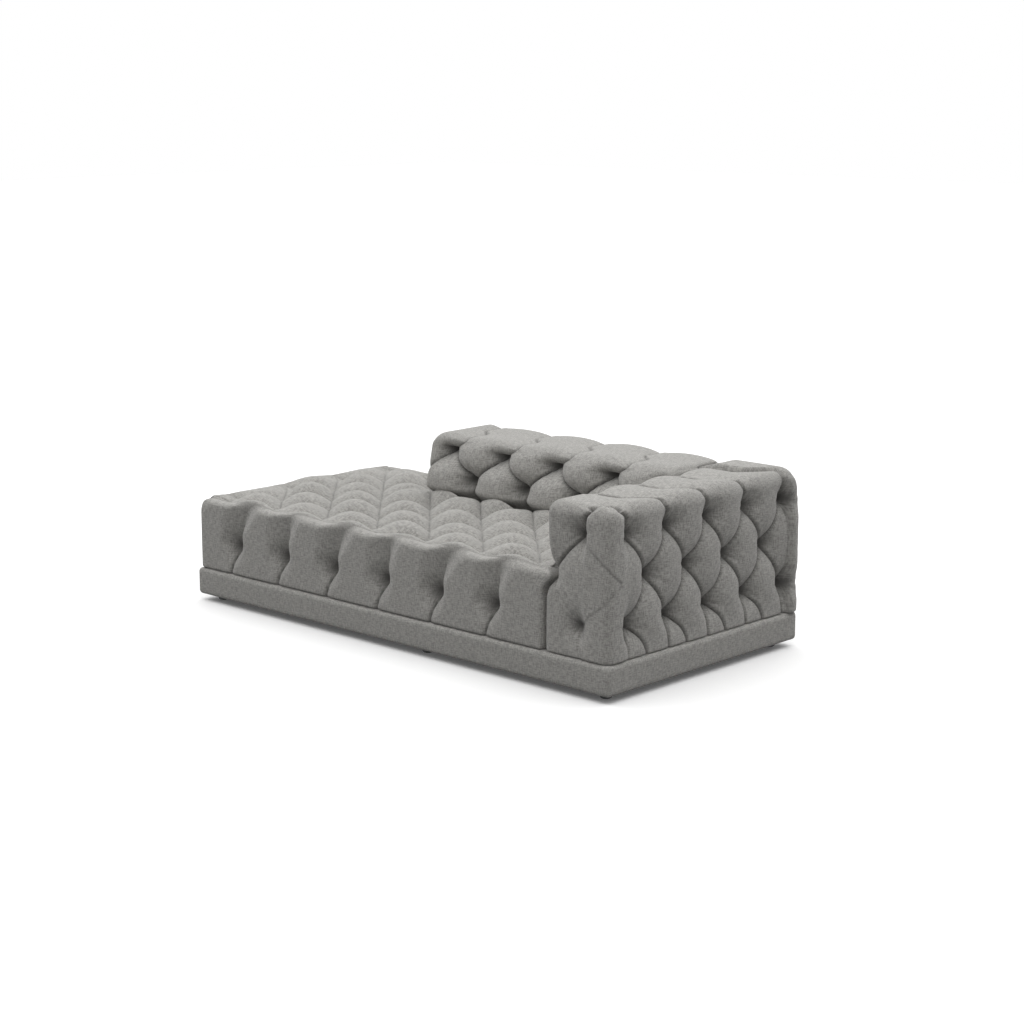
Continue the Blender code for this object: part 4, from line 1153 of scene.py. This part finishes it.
def weave_group():
    """Yarns of a plain woven cloth: a mask of light and dark yarn, and the height of the weave."""
    found = bpy.data.node_groups.get("heathered_weave")
    if found:
        return found
    group, enter, leave = new_group(
        "heathered_weave",
        ("Cloth", "Vector", "INPUT"),
        ("Yarn Count", "Float", "INPUT"),
        ("Slub", "Float", "INPUT"),
        ("Yarn", "Float", "OUTPUT"),
        ("Height", "Float", "OUTPUT"),
    )
    link = group.links.new
    threads = []
    for stretch in YARN_WAYS:
        along = node(group, "ShaderNodeVectorMath", operation="MULTIPLY")
        along.inputs[1].default_value = stretch
        link(enter.outputs["Cloth"], along.inputs[0])
        slubs = node(group, "ShaderNodeTexNoise", noise_dimensions="2D", Detail=3.0, Roughness=0.65)
        link(along.outputs[0], slubs.inputs["Vector"])
        link(enter.outputs["Slub"], slubs.inputs["Scale"])
        threads.append(slubs.outputs[0])
    mixed = node(group, "ShaderNodeMix", data_type="FLOAT", Factor=0.5)
    link(threads[0], mixed.inputs["A"])
    link(threads[1], mixed.inputs["B"])
    contrast = node(group, "ShaderNodeMapRange", interpolation_type="SMOOTHSTEP")
    contrast.inputs["From Min"].default_value, contrast.inputs["From Max"].default_value = YARN_RANGE
    link(mixed.outputs["Result"], contrast.inputs["Value"])
    link(contrast.outputs["Result"], leave.inputs["Yarn"])
    ribs = []
    for axis in ("X", "Y"):
        wave = node(group, "ShaderNodeTexWave", bands_direction=axis, Distortion=1.2, Detail=1.0)
        wave.inputs["Detail Scale"].default_value = 1.5
        link(enter.outputs["Cloth"], wave.inputs["Vector"])
        link(enter.outputs["Yarn Count"], wave.inputs["Scale"])
        ribs.append(wave.outputs[0])
    woven = node(group, "ShaderNodeMath", operation="MULTIPLY")
    link(ribs[0], woven.inputs[0])
    link(ribs[1], woven.inputs[1])
    raised = node(group, "ShaderNodeMath", operation="ADD")
    link(woven.outputs[0], raised.inputs[0])
    link(mixed.outputs["Result"], raised.inputs[1])
    link(raised.outputs[0], leave.inputs["Height"])
    return group


def cloth_material():
    """Heathered grey upholstery cloth, with shade painted into its pits, pleat lines and deep folds."""
    found = bpy.data.materials.get("heathered_cloth")
    if found:
        return found
    finishes = bpy.context.scene.chaise_finishes
    material, tree, shader = new_material("heathered_cloth", roughness=0.92)
    shader.inputs["Sheen Weight"].default_value = 0.3
    shader.inputs["Sheen Roughness"].default_value = 0.5
    shader.inputs["Specular IOR Level"].default_value = 0.2
    link = tree.links.new
    laid = node(tree, "ShaderNodeUVMap", uv_map="cloth")
    weave = node(tree, "ShaderNodeGroup", node_tree=weave_group())
    weave.inputs["Yarn Count"].default_value = 110.0
    weave.inputs["Slub"].default_value = 46.0
    link(laid.outputs["UV"], weave.inputs["Cloth"])
    # painted shade: the fold mark darkens the cloth towards the shade colour in pits, pleat lines and deep
    # points
    fold = node(tree, "ShaderNodeAttribute", attribute_name="fold")
    yarn = two_colours(tree, weave.outputs["Yarn"], finishes.cloth_dark, finishes.cloth)
    link(two_colours(tree, fold.outputs["Fac"], yarn, finishes.cloth_painted_shade), shader.inputs["Base Color"])
    bump = node(tree, "ShaderNodeBump", Strength=0.5, Distance=0.0015)
    link(weave.outputs["Height"], bump.inputs["Height"])
    link(bump.outputs["Normal"], shader.inputs["Normal"])
    return material


MOTTLE_DARK, LATE_WOOD_DARK = 0.82, 0.72  # darker tone of a plain finish and of wood, as shares
GRAIN_ALONG, GRAIN_ACROSS = 0.9, 9.0  # how finely the grain repeats


def plain_material(name, tint, roughness, metallic=0.0):
    """A faintly mottled finish."""
    material, tree, shader = new_material(name, roughness)
    shader.inputs["Metallic"].default_value = metallic
    at = node(tree, "ShaderNodeTexCoord")
    mottle = node(tree, "ShaderNodeTexNoise", Scale=180.0, Detail=3.0)
    tree.links.new(at.outputs["Object"], mottle.inputs["Vector"])
    darker = tuple(c * MOTTLE_DARK for c in tint)
    tree.links.new(two_colours(tree, mottle.outputs[0], darker, tint), shader.inputs["Base Color"])
    return material


def grain_group():
    """Growth rings and pores of sawn wood: a mask of late wood, and the height of the pores."""
    found = bpy.data.node_groups.get("wood_grain")
    if found:
        return found
    group, enter, leave = new_group(
        "wood_grain",
        ("Place", "Vector", "INPUT"),
        ("Late Wood", "Float", "OUTPUT"),
        ("Pores", "Float", "OUTPUT"),
    )
    rings = node(group, "ShaderNodeTexWave", wave_type="RINGS", Scale=1.6, Distortion=3.5, Detail=3.0)
    pores = node(group, "ShaderNodeTexNoise", Scale=60.0, Detail=2.0)
    for texture, label in ((rings, "Late Wood"), (pores, "Pores")):
        group.links.new(enter.outputs["Place"], texture.inputs["Vector"])
        group.links.new(texture.outputs[0], leave.inputs[label])
    return group


def wood_material(kind, axis, tint):
    """Wood whose grain runs along an axis."""
    name = f"{kind}_{'xyz'[axis]}"
    found = bpy.data.materials.get(name)
    if found:
        return found
    material, tree, shader = new_material(name, roughness=0.62)
    at = node(tree, "ShaderNodeTexCoord")
    stretch = node(tree, "ShaderNodeVectorMath", operation="MULTIPLY")
    stretch.inputs[1].default_value = [GRAIN_ALONG if i == axis else GRAIN_ACROSS for i in range(3)]
    tree.links.new(at.outputs["Object"], stretch.inputs[0])
    grain = node(tree, "ShaderNodeGroup", node_tree=grain_group())
    tree.links.new(stretch.outputs[0], grain.inputs["Place"])
    darker = tuple(c * LATE_WOOD_DARK for c in tint)
    tree.links.new(two_colours(tree, grain.outputs["Late Wood"], tint, darker), shader.inputs["Base Color"])
    bump = node(tree, "ShaderNodeBump", Strength=0.15, Distance=0.001)
    tree.links.new(grain.outputs["Pores"], bump.inputs["Height"])
    tree.links.new(bump.outputs["Normal"], shader.inputs["Normal"])
    return material


def long_axis(name):
    """The axis along which a node is longest."""
    low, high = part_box(name)
    return max(range(3), key=lambda i: high[i] - low[i])


def named(*starts):
    """Nodes whose names start so."""
    return [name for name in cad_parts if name.startswith(starts)]


def finish_nodes(names, material_for):
    """Gives CAD nodes that stay their finish."""
    for name in names:
        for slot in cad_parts[name].material_slots:
            slot.material = material_for(name)


# Other pieces

BAND_RADIUS, BAND_FOLD = 0.016, 0.045  # rounding of the band's edges, and the cloth folded in over the deck
BAND_GAP = 0.0003  # between the band and the deck's edge
FOLD_TOP, FOLD_UNDER = 0.0002, 0.0001  # faces of that fold, above the band
BAND_UNEVEN, BAND_SCALE = 0.0008, 1.7
TURN_STEPS, RISE_STEPS, CORNER_STEPS = 7, 8, 6  # stations of the profile and of the upright corners
SIDE_STEPS = 40, 20, 40, 20  # stations along the rear, the open end, the front and the arm's end
LEAST_BEND = 0.0008  # radius that is left of a corner deep in the fold


def make_plinth_cover():
    """The cloth band round the plinth: rounded above and below, and folded in over the deck's edge."""
    radius, wall = BAND_RADIUS, BAND_HIGH.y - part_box("deck_panel")[1].y - BAND_GAP
    low, high = BAND_LOW.z, BAND_HIGH.z
    turn = np.linspace(0, math.pi / 2, TURN_STEPS)
    profile = [(wall, low)]
    profile += [(radius * (1 - math.sin(a)), low + radius * (1 - math.cos(a))) for a in turn]
    profile += [(0.0, z) for z in np.linspace(low + radius, high - radius, RISE_STEPS)[1:-1]]
    profile += [(radius * (1 - math.cos(a)), high - radius * (1 - math.sin(a))) for a in turn]
    inner = wall + BAND_FOLD
    profile += [(inner, high + FOLD_TOP), (inner, high + FOLD_UNDER), (wall, high + FOLD_UNDER)]
    half = np.array((BAND_HIGH.x, BAND_HIGH.y))
    rings = np.array([band_outline(half, inset, z) for inset, z in profile])
    quads = grid_quads(*rings.shape[:2], rows_close=True, columns_close=True)
    points = rings.reshape(-1, 3)
    to_side = (half - np.abs(points[:, :2]))[quads].mean(1)
    facing = np.where(to_side[:, 1] < to_side[:, 0], 1, 0)
    facing = np.where(points[quads[:, 0], 2] > high, 2, facing)
    flat = points.copy()
    points[:, :2] *= 1 - BAND_UNEVEN * (1 + swell(points * BAND_SCALE))[:, None]
    mesh = mesh_of("plinth_cover", points, quads)
    lay_cloth(mesh, quads, flat, facing)
    band = show("plinth_cover", mesh, cloth_material(), "cover_fabric", "plinth_cover")


def band_outline(half, inset, z):
    """Points round the plinth at an inset, the same number at every inset."""
    bend = max(BAND_RADIUS - inset, LEAST_BEND)
    centres = [(half - inset - bend) * signs for signs in ((1, 1), (-1, 1), (-1, -1), (1, -1))]
    quarter = math.pi / 2

    def on_corner(number, angle):
        x, y = centres[number % len(centres)]
        return x + bend * math.cos(angle), y + bend * math.sin(angle), z

    points = []
    for number, steps in enumerate(SIDE_STEPS):
        start = number * quarter
        points += [on_corner(number, start + a) for a in np.linspace(0, quarter, CORNER_STEPS)]
        finish = on_corner(number + 1, start + quarter)
        points += [*np.linspace(points[-1], finish, steps + 1)[1:-1]]
    return points


DUST_STEPS_X, DUST_STEPS_Y = 81, 41
DUST_BAYS, DUST_SLACK = 4, 0.0025  # bays between rails, and how far the cloth hangs in each


def make_dust_cover():
    """Black cloth stretched under the plinth, a little slack between the rails."""
    low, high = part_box("dust_cover")
    xs, ys = np.linspace(low.x, high.x, DUST_STEPS_X), np.linspace(low.y, high.y, DUST_STEPS_Y)
    y, x = (g.ravel() for g in np.meshgrid(ys, xs, indexing="ij"))
    bays = DUST_BAYS * (x - low.x) / (high.x - low.x)
    slack = np.abs(np.sin(np.pi * bays)) * (1 - (y / high.y) ** 2)
    points = np.stack([x, y, high.z - DUST_SLACK * slack], 1)
    mesh = mesh_of("dust_cover", points, grid_quads(len(ys), len(xs)))
    material = plain_material("dust_cloth", bpy.context.scene.chaise_finishes.dust_cloth, roughness=0.95)
    sheet = show("dust_cover", mesh, material, "dust_cloth", "dust_cover")
    solid = sheet.modifiers.new("cloth_thickness", "SOLIDIFY")
    solid.thickness = high.z - low.z
    solid.offset = -1.0


FOAM_STEP, FOAM_RADIUS = 0.012, 0.012
FOAM_GAP = 0.0005  # between the foam and the pad's hollow


def make_seat_foam():
    """The firm core under the seat's pad, an L with eased edges."""
    step_x, step_y = (edge - SEAT_WALL - FOAM_GAP for edge in notch())
    xs = stations(FOAM_LOW.x, FOAM_HIGH.x, FOAM_STEP, step_x)
    ys = stations(FOAM_LOW.y, FOAM_HIGH.y, FOAM_STEP, step_y)
    zs = stations(FOAM_LOW.z, FOAM_HIGH.z, FOAM_STEP)
    points, quads = block_shell(xs, ys, zs, lambda x, y: (x < step_x) | (y < step_y))[:2]
    cores = (
        core(FOAM_LOW, (step_x, FOAM_HIGH.y, FOAM_HIGH.z), FOAM_RADIUS),
        core(FOAM_LOW, (FOAM_HIGH.x, step_y, FOAM_HIGH.z), FOAM_RADIUS),
    )
    mesh = mesh_of("seat_foam", rounded(points, cores)[0], quads)
    with edited(mesh) as bm:
        rim = [e for e in bm.edges if e.is_boundary]
        bmesh.ops.triangle_fill(bm, edges=rim, use_beauty=True)
    material = plain_material("foam", bpy.context.scene.chaise_finishes.foam, roughness=0.95)
    foam = show("seat_foam", mesh, material, "foam", "seat_foam")


STRAP_EDGE = (0.0, 0.5), (0.002, 0.9), (0.008, 1.0), (0.030, 1.0)  # way in, and share of the height
STRAP_STEPS, STRAP_SLACK = 25, 0.0012


def make_webbing():
    """Elastic straps from rail to rail under the foam."""
    material = plain_material("webbing", bpy.context.scene.chaise_finishes.webbing, roughness=0.85)
    for name in named("webbing_strap"):
        low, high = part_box(name)
        thick = high.z - low.z
        upper = [(low.x + a, b) for a, b in STRAP_EDGE] + [(high.x - a, b) for a, b in STRAP_EDGE[-2::-1]]
        section = upper + [(x, 1 - b) for x, b in upper[-2:0:-1]]
        along = np.linspace(0, 1, STRAP_STEPS)
        ys, slack = np.linspace(low.y, high.y, STRAP_STEPS), STRAP_SLACK * np.sin(np.pi * along) ** 2
        points = np.array([(x, y, low.z + b * thick - d) for y, d in zip(ys, slack) for x, b in section])
        mesh = mesh_of(name, points, grid_quads(STRAP_STEPS, len(section), columns_close=True))
        with edited(mesh) as bm:
            bm.verts.ensure_lookup_table()
            for end in (bm.verts[: len(section)], bm.verts[-len(section) :]):
                bm.faces.new(end)
        strap = show(name, mesh, material, "webbing", name)


def finish_frame():
    """Timber, plywood, nylon and steel for the solids that stay."""
    finishes = bpy.context.scene.chaise_finishes
    timber = [name for name in named("plinth_", "seat_", "arm_", "back_") if name.endswith("_rail")]
    timber += named("plinth_cross_rail", "corner_block", "arm_post", "back_post")
    finish_nodes(timber, lambda name: wood_material("timber", long_axis(name), finishes.timber))
    plywood = ["deck_panel", "arm_inner_panel", "arm_outer_panel", "back_front_panel", "back_rear_panel"]
    finish_nodes(plywood, lambda name: wood_material("plywood", long_axis(name), finishes.plywood))
    nylon = plain_material("nylon", finishes.nylon, roughness=0.45)
    finish_nodes(named("glide"), lambda name: nylon)
    steel = plain_material("steel", finishes.steel, roughness=0.35, metallic=1.0)
    finish_nodes(named("frame_bolt"), lambda name: steel)


# The stage

FLOOR_SIZE, LAMP_SPREAD, LAMP_HEIGHT = 60, math.radians(110), 4


def make_stage():
    """Pale floor, even sky, one large soft lamp above, and the camera."""
    stage = bpy.context.scene.chaise_stage
    scene = bpy.context.scene
    scene.view_settings.view_transform = "Standard"
    bpy.ops.mesh.primitive_plane_add(size=FLOOR_SIZE)
    floor = bpy.context.object
    floor.name = "floor"
    floor.data.materials.append(floor_material())
    scene.world = bpy.data.worlds.new("even_sky")
    light_sky(scene.world, stage.sky)
    lamp = bpy.data.lights.new("overhead", "SUN")
    lamp.angle = LAMP_SPREAD
    lamp.energy = stage.overhead
    above = bpy.data.objects.new("overhead", lamp)
    above.location = (0, 0, LAMP_HEIGHT)
    above.rotation_euler = (-stage.overhead_tilt, 0, stage.camera_turn)
    scene.collection.objects.link(above)
    lens = bpy.data.cameras.new("camera")
    lens.lens = stage.camera_lens
    camera = bpy.data.objects.new("camera", lens)
    camera.location = stage.camera_place
    camera.rotation_euler = (math.pi / 2 - stage.camera_tilt, 0, stage.camera_turn)
    scene.collection.objects.link(camera)
    scene.camera = camera


def seen_by_camera(tree):
    """1 on camera, glossy and transmission rays, which see the white background."""
    path = tree.nodes.new("ShaderNodeLightPath")
    total = path.outputs["Is Camera Ray"]
    for ray in ("Is Glossy Ray", "Is Transmission Ray"):
        add = node(tree, "ShaderNodeMath", operation="MAXIMUM")
        tree.links.new(total, add.inputs[0])
        tree.links.new(path.outputs[ray], add.inputs[1])
        total = add.outputs[0]
    return total


def light_sky(world, strength):
    """Even light of this strength, from a background that is white to the camera."""
    world.use_nodes = True
    tree = world.node_tree
    sky = tree.nodes["Background"]
    sky.inputs["Color"].default_value = (1, 1, 1, 1)
    mix = node(tree, "ShaderNodeMix", data_type="FLOAT")
    mix.inputs["A"].default_value = strength
    mix.inputs["B"].default_value = 1.0
    tree.links.new(seen_by_camera(tree), mix.inputs["Factor"])
    tree.links.new(mix.outputs["Result"], sky.inputs["Strength"])


def floor_material():
    """White to the camera, with the object's shadow; darker as it lights the object."""
    stage = bpy.context.scene.chaise_stage
    material, tree, shader = new_material("pale_floor", roughness=0.9)
    shader.inputs["Specular IOR Level"].default_value = 0.0
    seen = seen_by_camera(tree)
    tree.links.new(two_colours(tree, seen, stage.floor_bounce, stage.floor), shader.inputs["Base Color"])
    glow = node(tree, "ShaderNodeMath", operation="MULTIPLY")
    glow.inputs[1].default_value = stage.floor_glow
    tree.links.new(seen, glow.inputs[0])
    shader.inputs["Emission Color"].default_value = (1, 1, 1, 1)
    tree.links.new(glow.outputs[0], shader.inputs["Emission Strength"])
    return material


class CHAISE_OT_seat_pad(bpy.types.Operator):
    """Make the tufted seat"""

    bl_idname = "chaise.seat_pad"
    bl_label = "Seat Pad"

    def execute(self, context):
        make_seat_pad()
        return {"FINISHED"}


class CHAISE_OT_arm_pad(bpy.types.Operator):
    """Make the tufted arm"""

    bl_idname = "chaise.arm_pad"
    bl_label = "Arm Pad"

    def execute(self, context):
        make_arm_pad()
        return {"FINISHED"}


class CHAISE_OT_back_pad(bpy.types.Operator):
    """Make the tufted back"""

    bl_idname = "chaise.back_pad"
    bl_label = "Back Pad"

    def execute(self, context):
        make_back_pad()
        return {"FINISHED"}


class CHAISE_OT_plinth_cover(bpy.types.Operator):
    """Make the cloth band round the plinth"""

    bl_idname = "chaise.plinth_cover"
    bl_label = "Plinth Cover"

    def execute(self, context):
        make_plinth_cover()
        return {"FINISHED"}


class CHAISE_OT_dust_cover(bpy.types.Operator):
    """Make the cloth under the plinth"""

    bl_idname = "chaise.dust_cover"
    bl_label = "Dust Cover"

    def execute(self, context):
        make_dust_cover()
        return {"FINISHED"}


class CHAISE_OT_seat_core(bpy.types.Operator):
    """Make the seat's foam core and the webbing that carries it"""

    bl_idname = "chaise.seat_core"
    bl_label = "Seat Core"

    def execute(self, context):
        make_seat_foam()
        make_webbing()
        return {"FINISHED"}


class CHAISE_OT_frame_finish(bpy.types.Operator):
    """Give the frame, the glides and the bolts their finish"""

    bl_idname = "chaise.frame_finish"
    bl_label = "Frame Finish"

    def execute(self, context):
        finish_frame()
        return {"FINISHED"}


class CHAISE_OT_stage(bpy.types.Operator):
    """Make the floor, the light and the camera"""

    bl_idname = "chaise.stage"
    bl_label = "Stage"

    def execute(self, context):
        make_stage()
        return {"FINISHED"}


class CHAISE_PT_sidebar(bpy.types.Panel):
    """Lists the pieces in the order in which they are made"""

    bl_label = "Tufted Chaise Longue"
    bl_idname = "CHAISE_PT_sidebar"
    bl_space_type = "VIEW_3D"
    bl_region_type = "UI"
    bl_category = "Chaise"

    def draw(self, context):
        for operator in OPERATORS:
            self.layout.operator(operator.bl_idname)


GROUPS = {
    "chaise_tufts": TuftLayout,
    "chaise_form": PadForm,
    "chaise_finishes": Finishes,
    "chaise_stage": StageSettings,
}
OPERATORS = (
    CHAISE_OT_stage,
    CHAISE_OT_frame_finish,
    CHAISE_OT_plinth_cover,
    CHAISE_OT_dust_cover,
    CHAISE_OT_seat_core,
    CHAISE_OT_seat_pad,
    CHAISE_OT_arm_pad,
    CHAISE_OT_back_pad,
)


def register():
    for cls in (*GROUPS.values(), *OPERATORS, CHAISE_PT_sidebar):
        bpy.utils.register_class(cls)
    for name, group in GROUPS.items():
        setattr(bpy.types.Scene, name, PointerProperty(type=group))


def unregister():
    for name in GROUPS:
        delattr(bpy.types.Scene, name)
    for cls in reversed((*GROUPS.values(), *OPERATORS, CHAISE_PT_sidebar)):
        bpy.utils.unregister_class(cls)


def main():
    register()
    bpy.ops.chaise.stage()
    bpy.ops.chaise.frame_finish()
    bpy.ops.chaise.plinth_cover()
    bpy.ops.chaise.dust_cover()
    bpy.ops.chaise.seat_core()
    bpy.ops.chaise.seat_pad()
    bpy.ops.chaise.arm_pad()
    bpy.ops.chaise.back_pad()
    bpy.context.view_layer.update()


if __name__ == "__main__":
    main()
